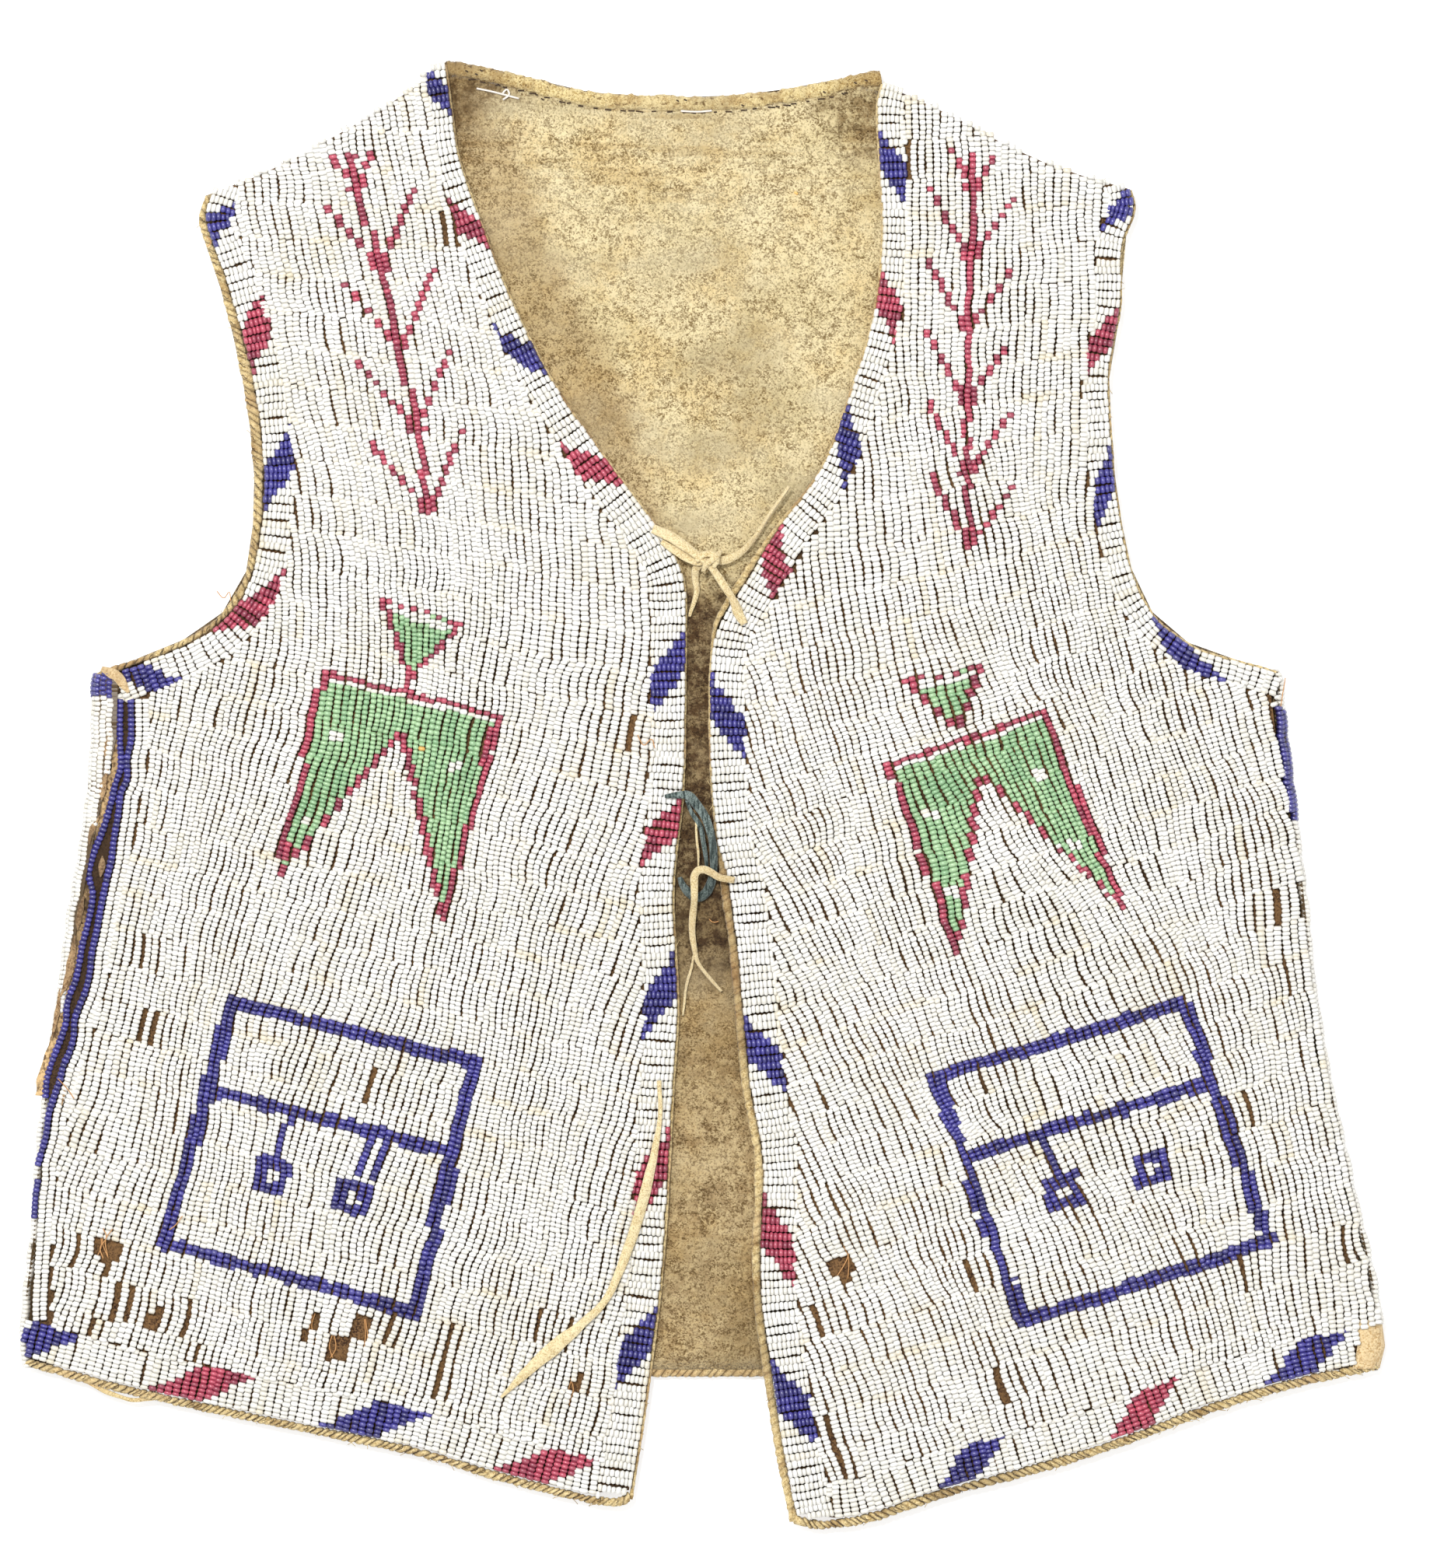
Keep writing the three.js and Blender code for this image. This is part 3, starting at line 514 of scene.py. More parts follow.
class Nodes:
    """A material's or a group's nodes, added one after another."""

    def __init__(self, tree):
        self.tree = tree

    def add(self, kind, **values):
        node = self.tree.nodes.new(kind)
        for key, value in values.items():
            if hasattr(node, key) and key not in node.inputs:
                setattr(node, key, value)
            else:
                self.put(node.inputs[key], value)
        return node

    def put(self, socket, value):
        if hasattr(value, "is_output"):
            self.tree.links.new(value, socket)
        else:
            socket.default_value = value

    def math(self, operation, a, b=0.0):
        node = self.tree.nodes.new("ShaderNodeMath")
        node.operation = operation
        self.put(node.inputs[0], a)
        self.put(node.inputs[1], b)
        return node.outputs[0]

    def plus(self, a, b):
        return self.math("ADD", a, b)

    def minus(self, a, b):
        return self.math("SUBTRACT", a, b)

    def times(self, a, b):
        return self.math("MULTIPLY", a, b)

    def place(self):
        return self.add("ShaderNodeTexCoord").outputs["Object"]

    def attribute(self, label):
        return self.add("ShaderNodeAttribute", attribute_name=label).outputs["Fac"]

    def mix(self, share, a, b, blend="MIX"):
        node = self.tree.nodes.new("ShaderNodeMix")
        node.data_type, node.blend_type, node.clamp_factor = "RGBA", blend, True
        self.put(node.inputs["Factor"], share)
        self.put(node.inputs["A"], a)
        self.put(node.inputs["B"], b)
        return node.outputs["Result"]

    def noise(self, vector, scale, detail=3.0, roughness=0.6):
        node = self.add("ShaderNodeTexNoise", Vector=vector, Scale=scale, Detail=detail, Roughness=roughness)
        return node.outputs["Fac"]

    def ramp(self, value, low, high):
        """0 where value is at or under low, and 1 where it is at or over high."""
        node = self.tree.nodes.new("ShaderNodeMapRange")
        node.interpolation_type = "SMOOTHSTEP"
        self.put(node.inputs["Value"], value)
        self.put(node.inputs["From Min"], low)
        self.put(node.inputs["From Max"], high)
        return node.outputs["Result"]


def group(name, inputs, outputs, build):
    tree = bpy.data.node_groups.new(name, "ShaderNodeTree")
    for label, kind, value in inputs:
        socket = tree.interface.new_socket(label, in_out="INPUT", socket_type=kind)
        if value is not None:
            socket.default_value = value
    for label, kind in outputs:
        tree.interface.new_socket(label, in_out="OUTPUT", socket_type=kind)
    nodes = Nodes(tree)
    start, end = tree.nodes.new("NodeGroupInput"), tree.nodes.new("NodeGroupOutput")
    for label, value in build(nodes, start.outputs).items():
        nodes.put(end.inputs[label], value)
    return tree


def material(name, build, **plain):
    """build returns what reaches the shader's sockets; plain values are set on them."""
    made = bpy.data.materials.new(name)
    made.use_nodes = True
    nodes = Nodes(made.node_tree)
    shader = made.node_tree.nodes["Principled BSDF"]
    for label, value in {**plain, **build(nodes)}.items():
        nodes.put(shader.inputs[label.replace("_", " ")], value)
    return made


def mottled(name, scale, first, second, **plain):
    """Two tones in soft patches."""

    def build(nodes):
        return {"Base Color": nodes.mix(nodes.noise(nodes.place(), scale), linear(first), linear(second))}

    return material(name, build, **plain)


def aged_and_shaded_colour(nodes, ports):
    """One colour that shifts a little from bead to bead, yellows with age, and is painted darker low on the bead, as
    shade where it meets its neighbours and the hide.
    """
    own = nodes.mix(ports["Shade"], ports["Pale"], ports["Deep"])
    age = nodes.ramp(nodes.plus(ports["Soil"], nodes.times(ports["Patch"], 0.3)), 0.3, 1.25)
    aged = nodes.mix(nodes.times(age, ports["Ageing"]), own, ports["Tan"])
    # painted shade: towards the bead's base the colour goes over to the brown shade colour
    low = nodes.times(nodes.math("POWER", ports["Crease_Shade"], 1.7), ports["Depth"])
    return {"Colour": nodes.mix(low, aged, ports["Brown"])}


AGED_AND_SHADED = group(
    "aged_and_shaded_bead",
    [("Pale", "NodeSocketColor", None), ("Deep", "NodeSocketColor", None), ("Tan", "NodeSocketColor", None),
     ("Brown", "NodeSocketColor", None), ("Shade", "NodeSocketFloat", 0.5), ("Soil", "NodeSocketFloat", 0.0),
     ("Crease_Shade", "NodeSocketFloat", 0.0), ("Patch", "NodeSocketFloat", 0.0), ("Ageing", "NodeSocketFloat", 0.8),
     ("Depth", "NodeSocketFloat", 0.9)],
    [("Colour", "NodeSocketColor")],
    aged_and_shaded_colour,
)


def glass(name, pale, deep, tan, brown, ageing, rough, depth=1.0, ior=1.5):
    def build(nodes):
        # the first two attributes are each bead's tone and soiling; the third carries painted shade low on the bead
        shade, soil, crease = (
            nodes.attribute(label) for label in ("shade", "soil", "crease")
        )
        place = nodes.place()
        aged = nodes.add("ShaderNodeGroup", node_tree=AGED_AND_SHADED)
        for label, value in (
            ("Pale", linear(pale)), ("Deep", linear(deep)), ("Tan", linear(tan)), ("Brown", linear(brown)),
            ("Shade", shade), ("Soil", soil), ("Crease_Shade", crease), ("Patch", nodes.noise(place, 45.0, 2.0)),
            ("Ageing", ageing), ("Depth", depth),
        ):
            nodes.put(aged.inputs[label], value)
        worn = nodes.noise(place, 900.0, 1.0)
        return {
            "Base Color": aged.outputs["Colour"],
            "Roughness": nodes.plus(nodes.times(worn, 0.18), rough),
        }

    return material(name, build, Specular_IOR_Level=0.75, IOR=ior)


def nap(nodes, ports):
    """Suede: grains of nap of many tones, pores, tufts pulled a little crossways, and soft patches."""
    place = ports["Place"]
    fineness = ports["Fineness"]
    pulled = nodes.add("ShaderNodeMapping", Vector=place, Scale=(0.4, 1.0, 1.0)).outputs["Vector"]
    grain = nodes.add("ShaderNodeTexVoronoi", Vector=place, Scale=nodes.times(fineness, 2.9)).outputs["Color"]
    tone = nodes.add("ShaderNodeSeparateColor", Color=grain).outputs
    fine = nodes.noise(place, nodes.times(fineness, 1.5), 3.0, 0.7)
    tufts = nodes.noise(place, nodes.times(fineness, 0.4), 3.0, 0.65)
    patch = nodes.noise(pulled, 70.0, 4.0, 0.6)
    broad = nodes.noise(place, 14.0, 3.0, 0.55)
    mixed = nodes.plus(nodes.times(tone["Red"], 0.55), nodes.times(nodes.ramp(fine, 0.3, 0.68), 0.3))
    mixed = nodes.plus(mixed, nodes.times(nodes.ramp(tufts, 0.38, 0.62), 0.25))
    nap_colour = nodes.mix(nodes.ramp(mixed, 0.14, 0.76), ports["Deep"], ports["Pale"])
    lifted = nodes.mix(nodes.times(nodes.ramp(patch, 0.46, 0.7), 0.4), nap_colour, ports["Light"])
    pores = nodes.times(nodes.ramp(tone["Green"], 0.90, 0.96), 0.45)
    pitted = nodes.mix(pores, lifted, ports["Brown"])
    dull = nodes.plus(nodes.times(broad, 0.5), nodes.times(tufts, 0.2))
    dull = nodes.plus(dull, nodes.times(patch, 0.3))
    colour = nodes.mix(nodes.times(nodes.ramp(dull, 0.49, 0.6), ports["Soiling"]), pitted, ports["Brown"])
    height = nodes.plus(nodes.times(fine, 1.2), nodes.times(tufts, 1.2))
    return {"Colour": colour, "Height": height, "Patch": patch}


NAP = group(
    "suede_nap",
    [("Place", "NodeSocketVector", None), ("Fineness", "NodeSocketFloat", 900.0), ("Soiling", "NodeSocketFloat", 0.4),
     ("Pale", "NodeSocketColor", None), ("Deep", "NodeSocketColor", None), ("Light", "NodeSocketColor", None),
     ("Brown", "NodeSocketColor", None)],
    [("Colour", "NodeSocketColor"), ("Height", "NodeSocketFloat"), ("Patch", "NodeSocketFloat")],
    nap,
)


def suede(name, pale, deep, light, brown, fineness=900.0, soiling=0.4, bump=0.5, dark=None):
    """dark, if given, shades this hide: from the nodes, the place and the patches to a share of a colour."""

    def build(nodes):
        place = nodes.place()
        cover = nodes.add("ShaderNodeGroup", node_tree=NAP)
        for label, value in (
            ("Place", place), ("Fineness", fineness), ("Soiling", soiling), ("Pale", linear(pale)),
            ("Deep", linear(deep)), ("Light", linear(light)), ("Brown", linear(brown)),
        ):
            nodes.put(cover.inputs[label], value)
        colour = cover.outputs["Colour"]
        if dark:
            for share, tint in dark(nodes, place, cover.outputs["Patch"]):
                colour = nodes.mix(share, colour, linear(tint), "MULTIPLY")
        lift = nodes.add("ShaderNodeBump", Strength=bump, Distance=0.0007, Height=cover.outputs["Height"])
        return {"Base Color": colour, "Normal": lift.outputs["Normal"]}

    return material(name, build, Roughness=0.95, Sheen_Weight=0.2, Specular_IOR_Level=0.15)


def soiled_and_shaded(nodes, place, patch):
    """The back's inside: painted shade in the narrow gap between the fronts and beside the right front's slanting
    neck edge, and soiled at the neck's corners and lower down the gap.
    """
    parts = nodes.add("ShaderNodeSeparateXYZ", Vector=place).outputs
    x, y = parts["X"], parts["Y"]
    wander = nodes.noise(place, 90.0, 4.0, 0.7)
    spread = nodes.times(nodes.minus(wander, 0.5), 0.06)
    specks = nodes.ramp(nodes.noise(place, 330.0, 3.0, 0.7), 0.62, 0.40)
    # painted shade in the narrow gap between the fronts, from the ties down to where the gap widens
    below = nodes.ramp(nodes.plus(y, spread), 0.068, 0.044)
    above = nodes.ramp(nodes.plus(y, nodes.times(spread, 1.3)), -0.06, -0.025)
    gap_shade = nodes.times(below, above)
    lower = nodes.times(nodes.ramp(y, -0.03, -0.05), nodes.ramp(patch, 0.62, 0.40))
    # painted shade along the neck's slanting edge on the wearer's right, beside the raised front, and soil in its two
    # corners
    slant = nodes.plus(x, nodes.times(nodes.minus(y, 0.188), 0.42))
    edge = nodes.ramp(nodes.plus(slant, nodes.times(spread, 0.4)), -0.050, -0.062)

    def corner(cx, cy, size):
        away = nodes.plus(nodes.math("ABSOLUTE", nodes.minus(x, cx)),
                          nodes.math("ABSOLUTE", nodes.minus(y, cy)))
        near = nodes.ramp(nodes.plus(away, spread), size, size * 0.35)
        return nodes.times(near, nodes.plus(nodes.times(specks, 0.5), 0.35))

    drawn = nodes.add("ShaderNodeMapping", Vector=place, Scale=(0.1, 1.0, 1.0)).outputs["Vector"]
    streaks = nodes.times(nodes.ramp(nodes.noise(drawn, 420.0, 3.0, 0.6), 0.5, 0.66), nodes.ramp(y, 0.135, 0.17))
    return [
        (nodes.times(streaks, 0.45), "CDBC9C"),
        (nodes.times(nodes.ramp(nodes.noise(place, 60.0, 5.0, 0.7), 0.44, 0.66), 0.4), "EED9AC"),
        (nodes.times(nodes.ramp(nodes.noise(place, 38.0, 5.0, 0.7), 0.56, 0.38), 0.4), "DCD6C0"),
        # painted shade in the narrow gap, speckled
        (nodes.times(gap_shade, nodes.plus(nodes.times(specks, 0.42), 0.56)), "6C5A4C"),
        (nodes.times(lower, nodes.plus(nodes.times(specks, 0.45), 0.08)), "9A8262"),
        # painted shade beside the right front's slanting edge
        (nodes.times(edge, 0.45), "A8895C"),
        (corner(-0.062, 0.186, 0.030), "8A7658"),
        (corner(0.046, 0.184, 0.032), "8A7658"),
    ]


def bead_bed(nodes):
    """Lane stitch seen from a little way off, for the side that the vest lies on."""
    place = nodes.place()
    brick = nodes.add("ShaderNodeTexBrick", offset=0.0, squash=1.0, Vector=place)
    for label, value in (
        ("Color1", linear("F4F1E6")), ("Color2", linear("E6DFCB")), ("Mortar", linear("8A7450")), ("Scale", 1.0),
        ("Mortar Size", 0.00012), ("Mortar Smooth", 0.4), ("Bias", 0.0), ("Brick Width", ROW * MM),
        ("Row Height", BEAD * MM),
    ):
        nodes.put(brick.inputs[label], value)
    down = nodes.add("ShaderNodeSeparateXYZ", Vector=place).outputs["Y"]
    lane = nodes.math("PINGPONG", nodes.plus(down, 1.0), LANE / 2 * MM)
    groove = nodes.ramp(lane, 0.0, 0.0011)
    colour = nodes.mix(groove, linear("B39B6E"), brick.outputs["Color"])
    # round the sides, strings of beads lie over this, and only the hide is seen between them
    rise = nodes.add("ShaderNodeSeparateXYZ", Vector=place).outputs["Z"]
    colour = nodes.mix(nodes.ramp(rise, 0.0007, 0.0016), colour, linear("5A4830"))
    high = nodes.plus(nodes.minus(1.0, brick.outputs["Fac"]), groove)
    lift = nodes.add("ShaderNodeBump", Strength=0.8, Distance=0.0005, Height=high)
    return {"Base Color": colour, "Normal": lift.outputs["Normal"]}


WHITE, BLUE, RED, GREEN, AMBER = range(5)
# Each glass: pale and deep tones, the tan it yellows to, the brown of the painted shade low between beads, ageing,
# roughness, the painted shade's strength and IOR
GLASS = [
    glass("white_glass", "EFEEEA", "E3E0D6", "DACAA2", "8A7F70", 0.6, 0.2, 0.95),
    glass("blue_glass", "3E3894", "241F66", "1C184A", "040309", 0.6, 0.24, ior=1.75),
    glass("rose_glass", "C04860", "862A42", "6A2436", "1C070D", 0.6, 0.24, ior=1.7),
    glass("green_glass", "A9CC9C", "88B283", "7E9A6C", "0C1608", 0.6, 0.2, ior=1.7),
    glass("amber_glass", "F0C173", "D89A45", "B07830", "5A3D18", 0.6, 0.24),
]
COLOUR = {"blue": BLUE, "red": RED}
HIDE_INSIDE = suede("brain_tanned_hide", "EAD9AC", "826C44", "E8DCB8", "7E6A46", 980.0, 0.4, 0.9, soiled_and_shaded)
# the fronts' hide, seen only between and under beads: stained, and painted dark as the shade there
HIDE_UNDER = suede("stained_hide_with_painted_shade", "80603E", "38251A", "987448", "24170E", 900.0, 0.7, 0.6)
# hide at the torn seam beside the strings: tan, its dark patches partly painted shade of the slits there
TORN_HIDE = suede("torn_edge_hide", "D8B684", "5E4630", "E2C698", "2A1B10", 460.0, 0.95, 0.9)
# dark hide for the dark threads and stitches, and as a sheet of painted shade between the seam's strings
HIDE_DARK = suede("dark_hide_and_painted_shade", "4E3B2A", "2C2016", "5A4430", "1E160E", 900.0, 0.5, 0.5)
SLIT_HIDE = suede("bare_hide", "B69770", "6C5036", "C8AC86", "48321F", 900.0, 0.7, 0.6)
CORNER_HIDE = suede("pale_bare_hide", "EBD2A4", "BE9A66", "F0DCB6", "9C7A4E", 900.0, 0.5, 0.8)


def stitch_grooves(nodes, place, patch):
    # painted shade in the stitches' grooves, then paler patches and dull soiled patches
    groove = nodes.attribute("crease")
    dull = nodes.ramp(nodes.noise(place, 120.0, 4.0, 0.7), 0.52, 0.66)
    return [(groove, "4E3822"), (nodes.times(nodes.ramp(patch, 0.5, 0.68), 0.4), "DCAC80"),
            (nodes.times(dull, 0.6), "A88C66")]


def specked(nodes, place, _patch):
    """The neck's turned edge: painted shade in its stitches' grooves, soiled in specks, and darker in its two
    corners.
    """
    groove = nodes.attribute("crease")
    specks = nodes.ramp(nodes.noise(place, 700.0, 3.0, 0.7), 0.57, 0.66)
    dull = nodes.ramp(nodes.noise(place, 150.0, 4.0, 0.7), 0.5, 0.62)
    x = nodes.add("ShaderNodeSeparateXYZ", Vector=place).outputs["X"]
    ends = nodes.ramp(nodes.math("ABSOLUTE", nodes.plus(x, 0.0095)), 0.038, 0.054)
    return [(nodes.times(groove, 0.9), "8A6A42"), (nodes.times(specks, 0.75), "7C6240"),
            (nodes.times(dull, 0.5), "B89C70"), (nodes.times(ends, 0.6), "A4875C")]


def streaked(nodes, place, _patch):
    """Dye worn off along the thong."""
    drawn = nodes.add("ShaderNodeMapping", Vector=place, Scale=(1.0, 0.12, 1.0)).outputs["Vector"]
    return [(nodes.times(nodes.ramp(nodes.noise(drawn, 1500.0, 2.0, 0.6), 0.45, 0.6), 0.8), "5A6A6A")]


EDGING = suede("hide_edging", "E6D09C", "B0945E", "EEDDB0", "7A6038", 1100.0, 0.5, 0.6, stitch_grooves)
NECK_EDGING = suede("turned_edge", "E8D49C", "AE9258", "F0DEB0", "7A6038", 1000.0, 0.5, 0.8, specked)
THONG = suede("pale_thong", "F0DFB2", "C8AE7A", "F6EBC8", "A08050", 1400.0, 0.4, 0.6)
GREY_THONG = suede("grey_thong", "84918D", "47554F", "98A5A0", "2C3836", 1400.0, 0.45, 0.6, streaked)
SINEW = mottled("sinew", 400.0, "D6A068", "A87640", Roughness=0.6)
PALE_THREAD = mottled("pale_thread", 500.0, "F0EAE2", "D8CCC0", Roughness=0.7)
BACK_BEADS = material("back_lane_stitch", bead_bed, Roughness=0.35)


# Beads

def hump(t):
    return GROOVE * 0.75 * np.abs(2 * t - 1) ** 3


def bead_places(rows, counts=None):
    """Where each bead of each row starts, is widest and ends, as shares of its row."""
    counts = np.full(rows, ROW_BEADS) if counts is None else counts
    size = np.clip(1 + 0.11 * chance.standard_normal((rows, ROW_BEADS)), 0.7, 1.35)
    size[np.arange(ROW_BEADS)[None, :] >= counts[:, None]] = 0
    end = np.cumsum(size, axis=1)
    end, start = end / end[:, -1:], (end - size) / end[:, -1:]
    middle = (start + end) / 2
    return middle[..., None] + (end - start)[..., None] * STATIONS


def strings(front, top, low, bow, wide, places):
    """Rows of beads on the bed, from top to low ends: each bead's stations, as base, up and side."""
    t = places[..., None]
    run = (low - top)[:, None, None, :]
    length = np.linalg.norm(run, axis=-1, keepdims=True)
    across = np.stack([-run[..., 1], run[..., 0]], axis=-1) / length
    aside = bow[:, None, None, None] * 4 * t * (1 - t) + 0.05 * chance.standard_normal(t.shape[:2])[..., None, None]
    at = top[:, None, None, :] + run * t + across * aside
    x, y = at[..., 0], at[..., 1]
    lift = swell(x, y)
    uneven = 0.06 * chance.standard_normal(t.shape[:2])[..., None]
    high = TOP_AT - hump(t[..., 0]) - rolled(front, x, y) - BED_AT + uneven
    base = np.stack([x, y, BED_AT + lift], axis=-1)
    up = np.zeros_like(base)
    up[..., 2] = high
    side = np.zeros_like(base)
    size = 1 + 0.05 * chance.standard_normal(t.shape[:2])[..., None]
    side[..., :2] = across * (np.broadcast_to(wide, x.shape) * size / 2)[..., None]
    return base, up, side


def rolled(front, x, y):
    fall = np.zeros(x.shape)
    for line in front["round_edges"]:
        share = np.clip(1 - distance(x, y, line) / ROLL_IN, 0, 1)
        fall = np.maximum(fall, ROLL_DOWN * share**2)
    return fall


def bead_mesh(name, base, up, side, colour, shade, soil):
    """One mesh of closed beads, each round on top and flat where it lies."""
    count = len(base)
    side = side * np.array([1.0, 0.97, 0.95, 0.93, 1.0])[colour][:, None, None]
    waist = np.array([0.82, 1.0, 0.82])[None, :, None]
    crown = np.array([0.66, 0.91, 0.66])[None, :, None]
    tall = np.array([0.88, 1.0, 0.88])[None, :, None]
    corners = [base - side * waist, base - side * crown + up * tall, base + side * crown + up * tall,
               base + side * waist]
    points = np.stack(corners, axis=2).reshape(-1, 3) * MM  # bead, station, corner
    quads = []
    for k in (0, 1):
        for j in range(4):
            n = (j + 1) % 4
            quads.append([4 * k + j, 4 * k + n, 4 * k + 4 + n, 4 * k + 4 + j])
    quads += [[3, 2, 1, 0], [8, 9, 10, 11]]
    faces = (np.array(quads)[None] + 12 * np.arange(count)[:, None, None]).reshape(-1, 4)
    mesh = bpy.data.meshes.new(name)
    mesh.vertices.add(len(points))
    mesh.vertices.foreach_set("co", points.astype(np.float32).ravel())
    mesh.loops.add(faces.size)
    mesh.loops.foreach_set("vertex_index", faces.astype(np.int32).ravel())
    mesh.polygons.add(len(faces))
    mesh.polygons.foreach_set("loop_start", np.arange(0, faces.size, 4, dtype=np.int32))
    mesh.polygons.foreach_set("loop_total", np.full(len(faces), 4, dtype=np.int32))
    used = sorted(set(colour.tolist()))
    for c in used:
        mesh.materials.append(GLASS[c])
    slots = np.searchsorted(used, colour)
    mesh.polygons.foreach_set("material_index", np.repeat(slots, len(quads)).astype(np.int32))
    mesh.update(calc_edges=True)
    # painted shade: full at each bead's base, a little at the top corners of its ends, none on its crown
    crease = np.tile([1.0, 0.32, 0.32, 1.0, 1.0, 0.0, 0.0, 1.0, 1.0, 0.32, 0.32, 1.0], count)
    for label, values in (("shade", np.repeat(shade, 12)), ("soil", np.repeat(soil, 12)), ("crease", crease)):
        mesh.attributes.new(label, "FLOAT", "POINT").data.foreach_set("value", values.astype(np.float32))
    return placed(name, mesh)


def placed(name, mesh):
    """A smooth object that holds a mesh."""
    mesh.polygons.foreach_set("use_smooth", np.ones(len(mesh.polygons), bool))
    made = bpy.data.objects.new(name, mesh)
    scene.collection.objects.link(made)
    return made


def closed(name, points, faces, mat):
    """A piece from points and faces, turned to face outwards."""
    mesh = bpy.data.meshes.new(name)
    mesh.from_pydata(points, [], faces)
    work = bmesh.new()
    work.from_mesh(mesh)
    bmesh.ops.recalc_face_normals(work, faces=work.faces)
    work.to_mesh(mesh)
    work.free()
    mesh.materials.append(mat)
    return placed(name, mesh)


def joined(parts):
    return [np.concatenate([p[i] for p in parts]) for i in range(len(parts[0]))]


def field_rows(front):
    """The rows of every lane: top and low ends, bow and widths. They run on from the lane above."""
    xs = [p[0] for key in ("opening", "shoulder", "armhole", "flank", "hem") for p in front[key]]
    x0, x1 = min(xs) - 16, max(xs) + 16

    def line(lane, x):
        y = lane_line(front, lane, x)
        return y + 0.5 * waves(x, y, 51, 42) + 0.35 * waves(x, y, 52, 13)

    x = np.arange(x0, x1, ROW)
    rows = []
    for lane in range(-3, front["lanes"][-1][0] + 4):
        n = len(x)
        y = line(lane, x)
        lean = along_table(front["lean"], y, 1) + 6 * waves(x, y, 11, 48) + 3 * waves(x, y, 12, 27)
        if front is LEFT:
            # towards the side the rows stand more upright
            lean = lean - 10 * np.clip((x - 118) / 30, 0, 1) * np.clip((60 - y) / 60, 0, 1)
        lower = x + np.tan(np.radians(lean + 0.8 * chance.standard_normal(n))) * LANE
        uneven = 0.12 * chance.standard_normal((2, n)) + np.array([[0.1], [-0.1]])
        top = np.stack([x, y + uneven[0]], axis=1)
        low = np.stack([lower, line(lane + 1, lower) + uneven[1]], axis=1)
        bow = 0.6 * waves(x, y, 23, 30) + 0.3 * waves(x, y, 24, 90) + 0.06 * chance.standard_normal(n)
        wide = np.stack([np.clip(np.gradient(at), 0.8 * ROW, 1.6 * ROW) * 1.06 for at in (x, lower)], axis=1)
        rows.append((top, low, bow, wide))
        # the next lane's rows run on from these: one is left out where they crowd, one put in where they part
        x = np.sort(lower)
        x = x[np.concatenate([[True], np.diff(x) > 0.72 * ROW])]
        wide_gaps = np.nonzero(np.diff(x) > 1.38 * ROW)[0]
        x = np.sort(np.concatenate([x, (x[wide_gaps] + x[wide_gaps + 1]) / 2]))
        for _ in range(6):
            x[1:-1] += 0.4 * ((x[:-2] + x[2:]) / 2 - x[1:-1])
        x = x + 0.06 * chance.standard_normal(len(x))
        x = x[(x > x0 - ROW) & (x < x1 + ROW)]
        x = np.concatenate([np.arange(x[0] - ROW, x0 - ROW, -ROW)[::-1], x, np.arange(x[-1] + ROW, x1 + ROW, ROW)])
    return joined(rows)


def edge_rows(front, edge):
    """Rows square to an edge, across its border: outer and inner ends, bow, widths, bead places and counts."""
    line = smooth_line(front[edge], 0.8)
    on = np.arange(1, 15)[:, None] * 0.8
    first, last = line[0] - line[3], line[-1] - line[-4]
    line = np.vstack([
        (line[0] + on * unit(first))[::-1], line, line[-1] + on * unit(last)])
    bare = edge_width(front, "bare", edge, line[:, 1]) + EDGE_CLEAR
    border = edge_width(front, "border", edge, line[:, 1])
    outer, inner = moved(line, front["side"], bare), moved(line, front["side"], bare + border)
    # a smoothed inner line, so that rows don't cross at a tight corner
    kernel = np.ones(9) / 9
    inner = np.stack([np.convolve(np.pad(inner[:, i], 4, mode="edge"), kernel, "valid") for i in range(2)], axis=1)
    middle = (outer + inner) / 2
    run = run_of(middle)
    pitch = ROW * 1.06
    count = int(run[-1] / pitch)
    at = (np.arange(count) + 0.5) * run[-1] / count
    at = at + 0.05 * chance.standard_normal(count) + 0.3 * waves(at, at * 0, 77, 24)

    def ends(line, at):
        return np.stack([np.interp(at, run, line[:, i]) for i in range(2)], axis=1)

    skew = 0.35 * waves(at, at * 0, 78, 30)
    a, b = ends(outer, at), ends(inner, at + skew)
    out = unit(b - a)
    a, b = a + out * 0.10 * chance.standard_normal((count, 1)), b + out * 0.22 * chance.standard_normal((count, 1))
    half = pitch / 2
    steps = [np.linalg.norm(ends(l, at + half) - ends(l, at - half), axis=1) for l in (outer, inner)]
    counts = np.clip(np.round(np.linalg.norm(b - a, axis=1) / (BEAD * 0.99)), 4, ROW_BEADS).astype(int)
    places = bead_places(count, counts)
    wide = steps[0][:, None, None] * (1 - places) + steps[1][:, None, None] * places
    wide = np.clip(wide * (np.gradient(at) / pitch)[:, None, None], 0.8 * ROW, 1.3 * ROW) * 1.08
    bow = 0.15 * chance.standard_normal(count) + 0.2 * waves(at, at * 0, 79, 17)
    return a, b, bow, wide, places, counts, at, middle, run


def nearest_run(point, middle, run):
    return run[np.argmin(np.hypot(middle[:, 0] - point[0], middle[:, 1] - point[1]))]


